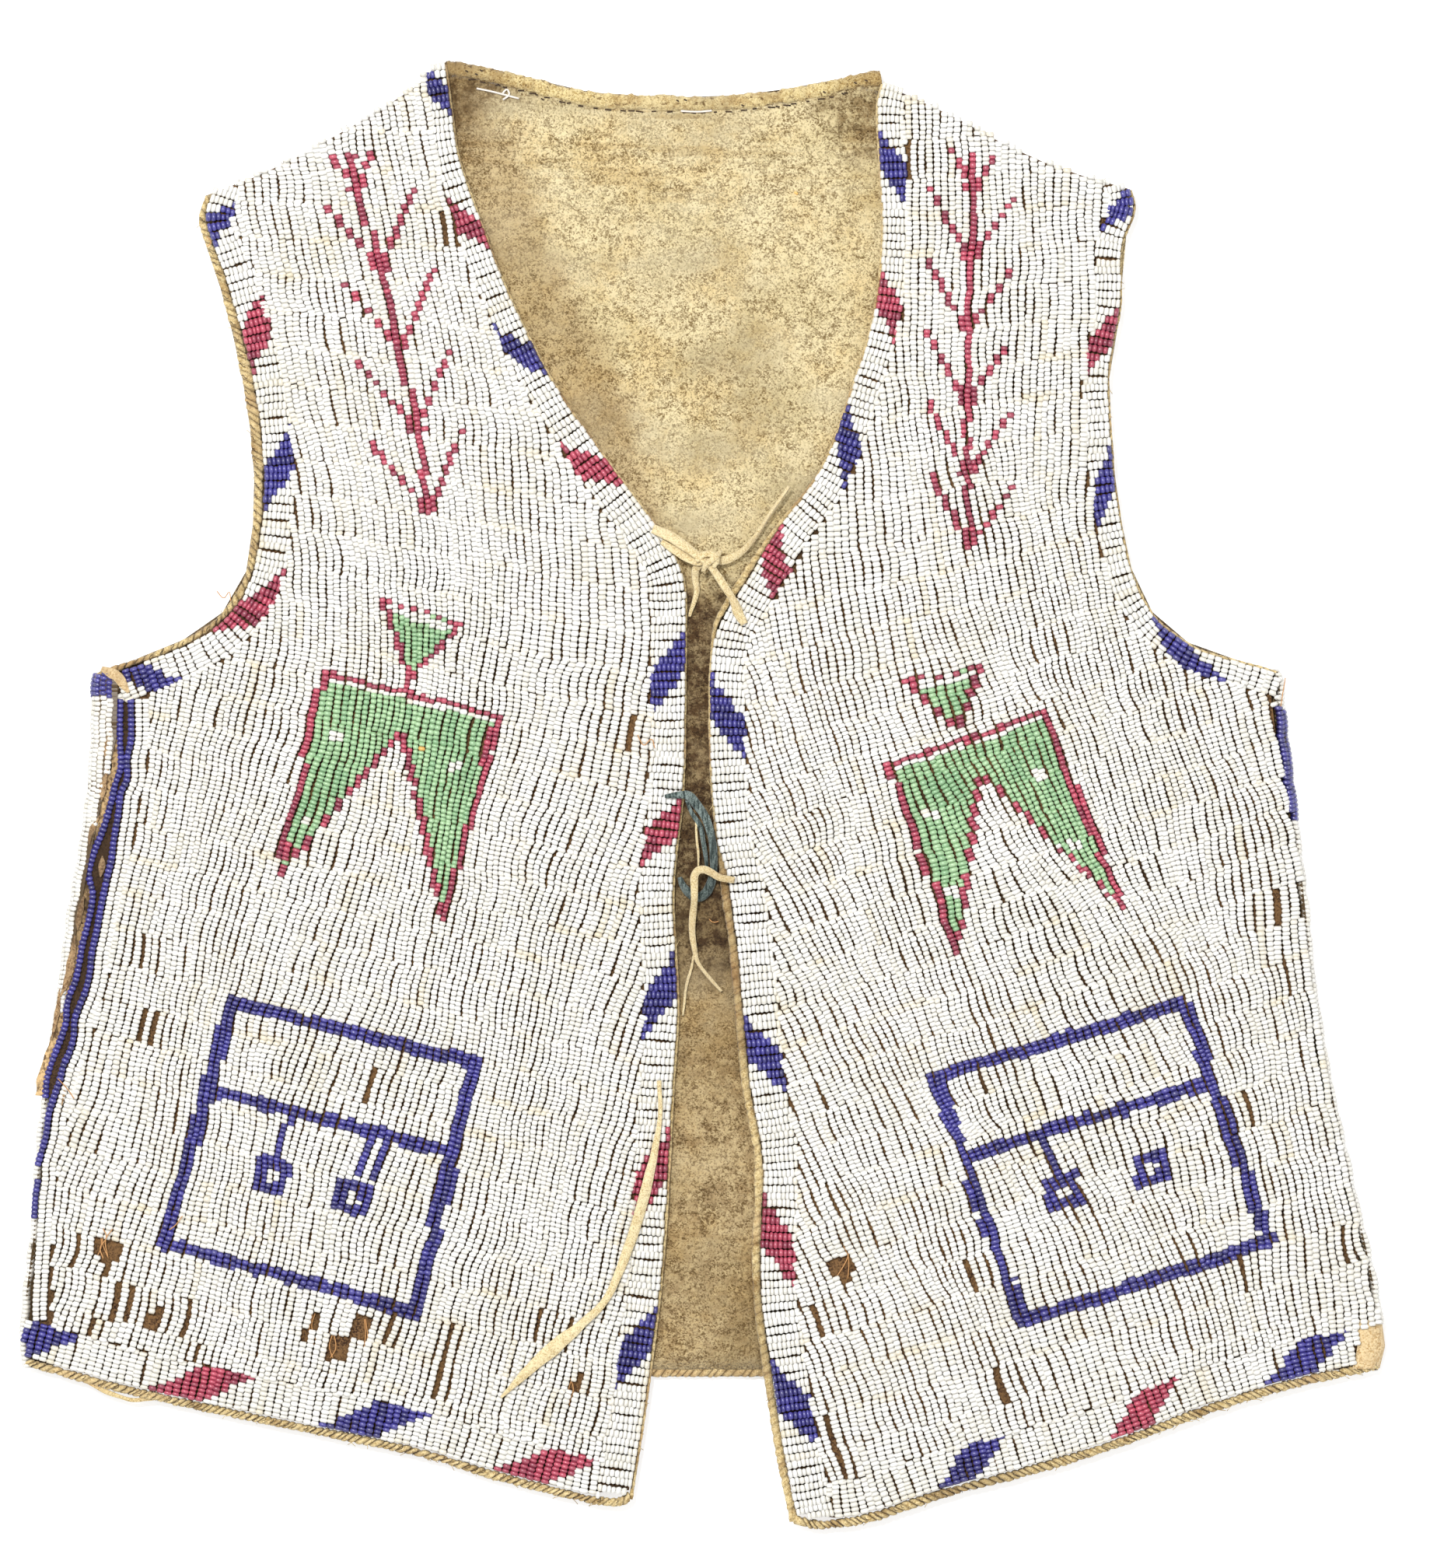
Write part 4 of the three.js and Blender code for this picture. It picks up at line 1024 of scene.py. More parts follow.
def border_colours(front, edge, at, depth, middle, run):
    """The slanted border motifs, each from one bead at a side of the lane across to its other side."""
    colour = np.full(depth.shape, WHITE)  # depth is from the outer side
    for where, name, start, end, from_outer in BORDER[front["name"]]:
        if where != edge:
            continue
        s0, s1 = nearest_run(start, middle, run), nearest_run(end, middle, run)
        t = ((at - s0) / (s1 - s0))[:, None]
        u = depth if from_outer else 1 - depth
        shape = (t > -0.02) & (t < 1.02) & (u <= np.maximum(2.05 * t, 0.1)) & (u >= np.minimum(2 * t - 1.05, 0.9))
        colour[shape] = COLOUR[name]
    return colour


# Motifs in the fields

def down_line(x, y, points, rows=1.0):
    """Beads of a line that runs down the rows."""
    p = np.array(sorted(points, key=lambda q: q[1]))
    near = np.abs(x - np.interp(y, p[:, 1], p[:, 0])) < ROW / 2 * rows
    return near & (y > p[0, 1] - BEAD / 2) & (y < p[-1, 1] + BEAD / 2)


def across_line(x, y, points, beads=1.0, lift=0.0):
    """Beads of a line that runs along the lanes."""
    p = np.array(sorted(points))
    near = np.abs(y - lift - np.interp(x, p[:, 0], p[:, 1])) < BEAD / 2 * beads
    return near & (x > p[0, 0] - ROW / 2) & (x < p[-1, 0] + ROW / 2)


def field_colours(front, x, y):
    name = front["name"]
    colour = np.full(x.shape, WHITE)
    tree, bird, pocket = TREES[name], BIRDS[name], POCKETS[name]
    colour[down_line(x, y, tree["stem"], 1.04)] = RED
    for line in tree["branches"]:
        colour[down_line(x, y, line, 0.85)] = RED
    for nx, ny in {line[0] for line in tree["branches"]}:
        colour[(np.abs(x - nx) < ROW * 1.25) & (np.abs(y - ny - 0.4) < BEAD * 0.75)] = RED
    outer, inner = bird["outer"], bird["inner"]
    wings = inside(x, y, np.array([*outer[0], *inner[0][::-1], *inner[1], *outer[1][::-1]]))
    head = inside(x, y, np.array(bird["head"]))
    colour[wings | head] = GREEN
    colour[across_line(x, y, bird["shoulder"], 1.1, -BEAD * 1.05)] = WHITE
    for line in outer:
        colour[down_line(x, y, line, 1.07)] = RED
    for line in inner:
        colour[down_line(x, y, line, 0.95) & (chance.random(x.shape) < 0.93)] = RED
    colour[across_line(x, y, bird["shoulder"], 1.1)] = RED
    a, b, c = bird["head"]
    colour[across_line(x, y, [a, b], 2.0, -BEAD * 1.5)] = WHITE
    every_other = (np.arange(len(x)) % 2 == 0)[:, None]
    ends = (np.abs(x - a[0]) < ROW * 0.8) | (np.abs(x - b[0]) < ROW * 0.8)
    colour[across_line(x, y, [a, b], 1.0) & (every_other | ends)] = RED
    for line in ([a, c], [b, c]):
        colour[down_line(x, y, line, 0.95)] = RED
    colour[down_line(x, y, [c, bird["neck"]], 1.0)] = RED
    for sx, sy in bird["spots"]:
        colour[(np.abs(x - sx) < ROW) & (np.abs(y - sy) < BEAD)] = WHITE
    for sx, sy in bird["amber"]:
        colour[(np.abs(x - sx) < ROW / 2) & (np.abs(y - sy) < BEAD / 2)] = AMBER
    for line in pocket["across"]:
        colour[across_line(x, y, line, 3.0)] = BLUE
    for line in pocket["down"]:
        colour[down_line(x, y, line, 2.0)] = BLUE
    for line in pocket["tie"]:
        colour[down_line(x, y, line, 0.95)] = BLUE
    for corners in pocket["tag"]:
        ring = np.array(corners)
        colour[inside(x, y, ring) | (distance(x, y, np.vstack([ring, ring[:1]])) < 0.7)] = BLUE
    for hx, hy in pocket["hole"]:
        colour[(np.abs(x - hx) < ROW * 0.8) & (np.abs(y - hy) < BEAD * 1.2)] = WHITE
    return colour


def drawn_in(front, top, low):
    """Marks the single rows that are lost, and leans their neighbours into their places."""
    middle = (top + low) / 2
    lost = np.zeros(len(top), bool)
    for cx, cy, w, _ in LOST[front["name"]]:
        if w < ONE_ROW:
            i = np.argmin(np.hypot(middle[:, 0] - cx, 0.5 * (middle[:, 1] - cy)))
            lost[i] = True
            away = middle[:, 0] - middle[i, 0]
            near = (np.abs(away) < 2.6 * ROW) & (np.abs(middle[:, 1] - middle[i, 1]) < LANE * 0.6)
            shift = -np.sign(away) * np.clip(0.6 - 0.2 * np.abs(away) / ROW, 0, 0.4) * near
            top[:, 0] += shift
            low[:, 0] += shift
    return lost


def kept(front, x, y, clear, lost=None):
    """Beads inside the front and clear of its edges by the widths given, but for the rows that are lost."""
    keep = inside(x, y, front["ring"])
    for edge, width in clear.items():
        keep &= distance(x, y, front["lines"][edge]) > width
    if lost is not None:
        keep &= ~lost[:, None]
        row_x, row_y = x.mean(axis=1), y.mean(axis=1)
        for cx, cy, w, h in LOST[front["name"]]:
            if w >= ONE_ROW:
                gone = (np.abs(row_x - cx) < w / 2) & (np.abs(row_y - cy) < LANE / 2)
                ragged = h / 2 + 0.9 - chance.uniform(0, 3.2, (len(x), 1)) * (chance.random((len(x), 1)) < 0.6)
                keep &= ~(gone[:, None] & (np.abs(y - cy) < ragged))
    return keep


def border_room(front, edge, y, spare):
    """How much room an edge's border takes at a height."""
    return edge_width(front, "bare", edge, y) + EDGE_CLEAR + edge_width(front, "border", edge, y) + spare


def beads_of(rows, places, colour, keep):
    base, up, side = rows
    keep = keep.ravel()
    n = len(keep)
    place = places[..., 1].ravel()
    x, y = base[:, :, 1, 0].ravel(), base[:, :, 1, 1].ravel()
    patches = 0.5 + 0.5 * waves(x, y, 5, 40) + 0.35 * waves(x, y, 6, 9)
    worn = np.clip(patches, 0, 1.2)
    soil = np.abs(2 * place - 1) ** 5 * (0.1 + 0.6 * worn**2) + 0.14 * worn + 0.12 * chance.random(n)
    # a few rows are dingy from end to end
    dingy = np.repeat(chance.random(len(places)) ** 14 * 0.5, ROW_BEADS)
    shade = 0.3 + 0.26 * chance.standard_normal(n) + 0.25 * waves(x, y, 8, 35)
    shade = np.clip(shade + np.repeat(chance.random(len(places)) ** 4 * 0.7, ROW_BEADS), 0, 1)
    flat = [a.reshape(n, 3, 3)[keep] for a in (base, up, side)]
    return [*flat, colour.ravel()[keep], shade[keep], np.clip(soil + dingy, 0, 1)[keep]]


def finish_piece(made, nodes):
    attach(made, "root")
    if nodes:
        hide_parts(*nodes)
    return made


def build_front_beads(front):
    name, side = front["name"], front["side"]
    front["lines"] = {key: smooth_line(front[key], 2) for key in ("opening", "shoulder", "armhole", "hem")}
    front["seam"] = seam_line(front, 2)
    front["lines"]["seam"] = front["seam"]
    front["ring"] = np.vstack([
        front["lines"]["opening"][:-1], moved(front["lines"]["shoulder"], side, -0.5),
        front["lines"]["armhole"][1:-1],
        front["seam"], front["lines"]["hem"][1:-1],
    ])
    front["round_edges"] = [front["lines"]["shoulder"], front["seam"]]
    pieces = []
    # the field, in three parts down the front
    top, low, bow, wide = field_rows(front)
    lost = drawn_in(front, top, low)
    places = bead_places(len(top))
    wide = wide[:, :1, None] * (1 - places) + wide[:, 1:, None] * places
    rows = strings(front, top, low, bow, wide, places)
    x, y = rows[0][:, :, 1, 0], rows[0][:, :, 1, 1]
    clear = {key: border_room(front, key, y, -0.4) for key in ("opening", "armhole", "hem")}
    keep = kept(front, x, y, {**clear, "seam": SEAM_CLEAR}, lost)
    if name == "right":
        inner = np.array(SEAM_STRINGS[1] + SEAM_STRINGS[2])[::-1]
        keep &= x > np.interp(y, inner[:, 1], inner[:, 0]) + 4.6
    found = beads_of(rows, places, field_colours(front, x, y), keep)
    height = found[0][:, 1, 1]
    for part, high, under in zip(("upper", "middle", "lower"), FIELD_CUTS[:-1], FIELD_CUTS[1:], strict=True):
        use = (height <= high) & (height > under)
        made = bead_mesh(f"{name}_front_beads_{part}", *[a[use] for a in found])
        pieces.append(finish_piece(made, [f"{name}_front_beadwork"]))
    # the border lanes
    for edge in ("opening", "armhole", "hem"):
        a, b, bow, wide, places, counts, at, middle, run = edge_rows(front, edge)
        rows = strings(front, a, b, bow, wide, places)
        x, y = rows[0][:, :, 1, 0], rows[0][:, :, 1, 1]
        clear = {"seam": SEAM_CLEAR}
        if edge != "opening":
            clear["opening"] = border_room(front, "opening", y, -0.1)
        if edge != "hem":
            clear["hem"] = edge_width(front, "bare", "hem", y) + 0.3
        keep = kept(front, x, y, clear) & (np.arange(ROW_BEADS)[None, :] < counts[:, None])
        if front is LEFT and edge == "hem":
            keep &= x < 168.6
        colour = border_colours(front, edge, at, places[..., 1], middle, run)
        made = bead_mesh(f"{name}_{edge}_lane_beads", *beads_of(rows, places, colour, keep))
        node = f"{name}_front_beadwork" if edge == "hem" else f"{name}_{edge}_lane"
        pieces.append(finish_piece(made, [node]))
    return pieces


def string_along(front, points, offset, colour):
    """One string of beads laid along a way, drawn down a little at every lane."""
    way = smooth_line(points, BEAD)
    if offset:
        way = spaced(moved(way, 1, -offset), BEAD)
    n = len(way)
    along = unit(np.gradient(way, axis=0))
    across = np.stack([-along[:, 1], along[:, 0]], axis=1)
    at = way[:, None, :] + along[:, None, :] * (STATIONS * BEAD)[None, :, None]
    x, y = at[..., 0], at[..., 1]
    sag = 0.35 * np.abs(np.sin(np.pi * np.arange(n) / ROW_BEADS))[:, None] - 0.3
    base = np.stack([x, y, BED_AT + swell(x, y)], axis=-1)
    up = np.zeros_like(base)
    up[..., 2] = TOP_AT - rolled(front, x, y) * 0.7 - BED_AT + sag
    side = np.zeros_like(base)
    side[..., :2] = across[:, None, :] * ROW * 0.52 * (1 + 0.06 * chance.standard_normal(n))[:, None, None]
    shade = np.clip(0.4 + 0.3 * chance.standard_normal(n), 0, 1)
    soil = (0.2 if colour == BLUE else 0.05) + 0.3 * chance.random(n)
    return base, up, side, np.full(n, colour), shade, soil


def build_seam_beads(front):
    """The blue strings that run down beside a side seam, and the white ones next to them."""
    parts = [string_along(front, points, 0, BLUE) for points in SEAM_STRINGS]
    inner = [*SEAM_STRINGS[1], *SEAM_STRINGS[2][:2], (-172, -111), (-172.9, -124), (-173.3, -134), (-172.6, -141)]
    for offset in (2.0, 3.9):
        found = string_along(front, inner, offset, WHITE)
        low = distance(found[0][:, 1, 0], found[0][:, 1, 1], front["lines"]["hem"]) > 12.2
        high = distance(found[0][:, 1, 0], found[0][:, 1, 1], front["lines"]["armhole"]) > 8.2
        parts.append([a[low & high] for a in found])
    made = bead_mesh(f"{front['name']}_seam_beads", *joined(parts))
    return finish_piece(made, [f"{front['name']}_front_beadwork"])


def build_seam_hide():
    """Hide beside the strings: a sheet of painted shade between them, and bare and pale in places along the side."""
    pieces = []
    outer, inner = [(-149.8, 29), *SEAM_STRINGS[0]], [(-147.4, 29), *SEAM_STRINGS[1]]
    xs = np.array(inner)[::-1]
    # a dark sheet of painted shade in the gap between the two blue strings
    middle = [((x + np.interp(y, xs[:, 1], xs[:, 0])) / 2, y, BED_AT + 0.35 + float(swell(x, y))) for x, y in outer]
    _, rings = ribbon(middle, 4.6, 0.5, wobble=0.2, seed=21)
    pieces.append(swept("right_seam_painted_shade", rings, HIDE_DARK))
    # over the seam's gap outside the outer string: torn hide, whose dark patches are partly painted shade
    outside = [(x - 1.5, y, TOP_AT - 1.4 + float(swell(x, y))) for x, y in outer]
    _, rings = ribbon(outside, 2.0, 0.5, wobble=0.3, seed=22)
    pieces.append(swept("right_seam_gap_hide", rings, TORN_HIDE))
    corner = [(-154.4, 32.4, TOP_AT - 0.5), (-151.4, 31, TOP_AT - 0.1), (-149, 28.6, TOP_AT),
              (-147.4, 26.2, TOP_AT - 0.2)]
    _, rings = ribbon([(x, y, z + float(swell(x, y))) for x, y, z in corner], 2.5, 0.6, [0.5, 1.1, 1.0, 0.3],
                      wobble=0.15, seed=23)
    pieces.append(swept("right_seam_corner_hide", rings, CORNER_HIDE))
    for k, (points, width) in enumerate(SEAM_BARE):
        between_strings = k == 3
        route = at_level(points, BED_AT + 1.0 if between_strings else TOP_AT - 0.45)
        _, rings = ribbon(route, width * 0.85, 0.5, [0.2, 0.8, 1.1, 0.85, 0.2], wobble=0.3, seed=k + 31)
        pieces.append(swept(f"right_seam_bare_hide_{k + 1}", rings, SLIT_HIDE))
    for made in pieces:
        finish_piece(made, [])
    loose = [(-161, -149.8), (-157.5, -151.6), (-153.6, -153.6), (-149.8, -155.0), (-146.4, -155.9),
             (-143.4, -155.7), (-140, -155.4)]
    _, rings = ribbon([(x, y, FRONT_HIDE_AT + 1.2) for x, y in loose], 1.0, 0.9,
                      [0.4, 1.0, 1.2, 1.0, 1.1, 0.6], wobble=0.3, seed=24)
    finish_piece(swept("right_hem_loose_strip", rings, EDGING), [])
    return pieces


def build_fold_beads(front):
    """The back's beads where they wrap round a side: strings along the side, one beside another round the fold."""
    side = front["side"]
    line = smooth_line(front["flank"], BEAD)
    n = len(line)
    parts = []
    reach = np.maximum(along_table(front["reach"], line[:, 1], 1), FOLD_LEAST)
    # each lane of the back swells out a little at the side
    run = np.arange(n) * BEAD + 1.5 * waves(line[:, 1], line[:, 1] * 0, 34, 40)
    bulge = 0.8 * np.abs(np.sin(np.pi * run / LANE)) ** 0.7 * (0.7 + 0.4 * waves(line[:, 1], line[:, 1] * 0,
                                                                                 35, 50)) - 0.2
    centre = line[:, 0] - side * (FOLD - bulge)
    inner, tall = FOLD - 1.5, 1.72
    strands = 9
    first_line, first_centre, first_reach = line, centre, reach
    lengths = np.arange(n) * BEAD
    for k in range(strands):
        # each string's beads start at a place of their own
        at = lengths + BEAD * chance.random() + 0.25 * waves(lengths, lengths * 0, 60 + k, 17)
        line = np.stack([np.interp(at, lengths, first_line[:, i]) for i in range(2)], axis=1)
        centre, reach = np.interp(at, lengths, first_centre), np.interp(at, lengths, first_reach)
        turn = -math.pi / 2 + (k + 0.1) * ROW * 0.97 / FOLD
        flat = 0.0
        angle = np.full(n, turn)
        beyond = turn > math.pi / 2
        if beyond:
            flat = (turn - math.pi / 2) * FOLD
            angle = np.full(n, math.pi / 2)
        angle = angle + 0.05 * waves(line[:, 1], line[:, 0] + 40 * k, 31, 30)
        shown = np.minimum(reach, FOLD)
        limit = np.arccos(1 - shown / FOLD)
        room = np.where(beyond, reach - FOLD - flat > ROW * 0.2,
                        (angle < np.maximum(limit - 0.08, 0.46)) | (reach > FOLD))
        out = np.stack([np.cos(angle) * side, np.zeros(n), np.sin(angle)], axis=1)
        hub = np.stack([centre - side * flat, line[:, 1], np.full(n, FOLD)], axis=1)
        along = np.gradient(line, axis=0)
        along = unit(np.stack([along[:, 0], along[:, 1], np.zeros(n)], axis=1))
        across = np.cross(out, along)
        offsets = STATIONS * BEAD
        base = (hub + out * inner)[:, None, :] + along[:, None, :] * offsets[None, :, None]
        up = np.repeat((out * (tall if turn > -0.9 else 1.35))[:, None, :], 3, axis=1)
        # so that faces point outwards, the side vector follows across and the rise
        sideways = np.repeat((across * ROW * 0.5 * (1 + 0.05 * chance.standard_normal((n, 1))))[:, None, :], 3,
                             axis=1)
        keep = room & (chance.random(n) > 0.002)
        if turn < -1.2:
            continue
        if side > 0:
            keep &= line[:, 1] > -136
        shade = np.clip(0.35 + 0.3 * chance.standard_normal(n), 0, 1)
        soil = 0.25 + 0.2 * chance.random(n)
        colour = np.full(n, WHITE)
        if side < 0:
            colour[(line[:, 1] > 25.3) & (angle > -0.2)] = BLUE
        else:
            colour[(line[:, 1] < 22.3) & (line[:, 1] > -6.5) & (angle > -0.2)] = BLUE
        parts.append([a[keep] for a in (base, up, sideways, colour, shade, soil)])
    found = joined(parts)
    made = bead_mesh(f"{front['name']}_fold_beads", *found)
    return finish_piece(made, [])


# Hide

def worked_copy(name, node, mat, step, roughen):
    """A hide panel over its place in the frame: cut into a fine net and worked uneven."""
    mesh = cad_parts[node].data.copy()
    mesh.name = name
    work = bmesh.new()
    work.from_mesh(mesh)
    bmesh.ops.remove_doubles(work, verts=work.verts, dist=1e-6)
    low = [min(v.co[i] for v in work.verts) for i in range(2)]
    high = [max(v.co[i] for v in work.verts) for i in range(2)]
    for axis in range(2):
        at = low[axis] + step * MM
        while at < high[axis]:
            point, normal = [0.0, 0.0, 0.0], [0.0, 0.0, 0.0]
            point[axis], normal[axis] = at, 1.0
            geometry = [*work.verts, *work.edges, *work.faces]
            bmesh.ops.bisect_plane(work, geom=geometry, dist=1e-7, plane_co=point, plane_no=normal)
            at += step * MM
    for v in work.verts:
        v.co.z += float(roughen(v.co.x / MM, v.co.y / MM, v.co.z / MM)) * MM
    work.to_mesh(mesh)
    work.free()
    mesh.materials.clear()
    mesh.materials.append(mat)
    return placed(name, mesh)


def rumple(x, y, z):
    """The inside of the back, uneven where nothing lies on it."""
    if z < BACK_HIDE_AT + 1.2 or z > BACK_HIDE_AT + HIDE + 0.2:
        return 0.0
    return 0.12 * math.sin(x * 0.31 + 1.3 * math.sin(y * 0.11)) * math.sin(y * 0.23 + x * 0.05) - 0.05


def stitched_edge(name, line, side, width, low, high, pitch, depth, mat, lift=True, seed=1):
    """A strip folded over an edge and whipped down with slanting stitches, each of its own length."""
    rng = np.random.default_rng(seed)
    at = run_of(line)
    total = at[-1]
    ends = np.cumsum(pitch * np.clip(1 + 0.22 * rng.standard_normal(int(total / pitch) + 8), 0.55, 1.5))
    ends = np.concatenate([[0.0], ends[ends < total - pitch], [total]])
    share = np.array([0.0, 0.13, 0.37, 0.63, 0.87])
    run = (ends[:-1, None] + np.diff(ends)[:, None] * share).ravel()
    strength = np.repeat(depth * np.clip(rng.uniform(0.5, 1.5, len(ends) - 1), 0, 1), len(share))
    groove = np.tile([1.0, 0.35, 0.0, 0.0, 0.35], len(ends) - 1) * strength
    run, groove = np.append(run, total), np.append(groove, 0.0)
    height = np.interp(run, at, line[:, 1])
    if not isinstance(width, (int, float)):
        bare = along_table(width[1], height, 1)
        width = along_table(width[0], height, 1)
        # where the border's beads lie over the strip, it is pressed flat
        high = np.where(bare < width - 0.15, BED_AT - 0.06, high)
    middle = moved(line, side, np.interp(at, run, width / 2 + 0 * run))
    along = unit(np.gradient(line, axis=0))
    inward = side * np.stack([along[:, 1], -along[:, 0]], axis=1)
    lump = 0.12 * waves(run, run * 0, seed, 11) + 0.09 * waves(run, run * 0, seed + 50, 3.1)
    sides = 10
    rings, grooves = [], []
    for k in range(sides):
        turn = 2 * math.pi * k / sides
        where = np.clip(run + 0.45 * width * math.cos(turn) * depth, 0, total)
        grow = 1.03 - 0.3 * groove + lump + 0.04 * rng.standard_normal(len(run))
        push = np.stack([np.interp(where, at, inward[:, i]) for i in range(2)], axis=1)
        xy = np.stack([np.interp(where, at, middle[:, i]) for i in range(2)], axis=1)
        xy = xy + push * (math.cos(turn) * width / 2 * grow)[:, None]
        z = (low + high) / 2 + math.sin(turn) * (high - low) / 2 * grow
        if lift:
            z = z + swell(xy[:, 0], xy[:, 1])
        rings.append(np.column_stack([xy, np.maximum(z, low)]))
        grooves.append(groove)
    made = swept(name, np.stack(rings, axis=1), mat)
    # how deep each stitch's groove is, kept for the material's painted shade in it
    made.data.attributes.new("crease", "FLOAT", "POINT").data.foreach_set(
        "value", np.stack(grooves, axis=1).ravel().astype(np.float32))
    return made


def swept(name, rings, mat):
    """A closed tube through rings of points."""
    n, sides = rings.shape[:2]
    points = rings.reshape(-1, 3) * MM
    faces = []
    for i in range(n - 1):
        for k in range(sides):
            m = (k + 1) % sides
            faces.append((i * sides + k, i * sides + m, (i + 1) * sides + m, (i + 1) * sides + k))
    faces += [tuple(range(sides))[::-1], tuple(range((n - 1) * sides, n * sides))]
    return closed(name, points.tolist(), faces, mat)


# Thongs

def ribbon(route, width, thick, taper=(1, 1), roll=None, wobble=0.06, seed=3):
    """A cut hide thong: flat, a little uneven, along a route whose heights are its middle's."""
    path = smooth_line(route, 0.5)
    n = len(path)
    along = unit(np.gradient(path, axis=0))
    across = unit(np.cross(along, [0, 0, 1.0]))
    over = np.cross(across, along)
    share = np.linspace(0, 1, n)
    size = np.interp(share, np.linspace(0, 1, len(taper)), taper)
    turn = np.interp(share, np.linspace(0, 1, len(roll)), roll) if roll else np.zeros(n)
    a = across * np.cos(turn)[:, None] + over * np.sin(turn)[:, None]
    b = -across * np.sin(turn)[:, None] + over * np.cos(turn)[:, None]
    corners = [(-0.5, -0.25), (-0.44, -0.5), (0, -0.42), (0.44, -0.5), (0.5, -0.25), (0.5, 0.25), (0.44, 0.5),
               (0, 0.4), (-0.44, 0.5), (-0.5, 0.25)]
    rings = []
    run = share * n * 0.5
    for u, v in corners:
        edge = 1 + wobble * waves(run, run * 0 + 7 * (u > 0), seed, 6)
        rings.append(path + a * (u * width * size * edge)[:, None] + b * v * thick)
    return path, np.stack(rings, axis=1)


def laid(route, thick):
    """A route given above the beads' tops, as the places of a thong's middle."""
    return [(x, y, TOP_AT + thick / 2 + up + float(swell(x, y)) + 0.05) for x, y, up in route]


def build_thongs():
    for name, (width, thick, route, taper, roll) in THONGS.items():
        mat = GREY_THONG if name == "middle_tie_grey" else THONG
        path, rings = ribbon(laid(route, thick), width, thick, taper, roll)
        made = swept(f"{name}_strip", rings, mat)
        finish_piece(made, [name])
        length = float(run_of(path)[-1])
    for name, width, thick, route in STRANDS:
        grey = "grey" in name
        _, rings = ribbon(laid(route, thick), width, thick, [0.6, 1.0, 1.1, 1.0, 0.6], [0.3, 0.1, 0.4, 0.2],
                          wobble=0.1, seed=13)
        finish_piece(swept(name, rings, GREY_THONG if grey else THONG), [])


# Loose threads and stitches

def tubes(name, lines, radius, mat, sides=5):
    """Many short threads in one mesh; lines are in millimetres."""
    points, faces = [], []
    for line in lines:
        path = smooth_line(line, 0.5) if len(line) > 2 else spaced(np.array(line, float), 0.5)
        n = len(path)
        along = unit(np.gradient(path, axis=0))
        across = np.cross(along, [0, 0, 1.0])
        across /= np.maximum(np.linalg.norm(across, axis=1, keepdims=True), 1e-6)
        over = np.cross(across, along)
        first = len(points)
        for i in range(n):
            for k in range(sides):
                turn = 2 * math.pi * k / sides
                out = across[i] * math.cos(turn) + over[i] * math.sin(turn)
                points.append(tuple((path[i] + radius * out) * MM))
        for i in range(n - 1):
            for k in range(sides):
                m = (k + 1) % sides
                a, b = first + i * sides, first + (i + 1) * sides
                faces.append((a + k, b + k, b + m, a + m))
        faces += [tuple(range(first, first + sides)), tuple(range(first + (n - 1) * sides, first + n * sides))[::-1]]
    return finish_piece(closed(name, points, faces, mat), [])


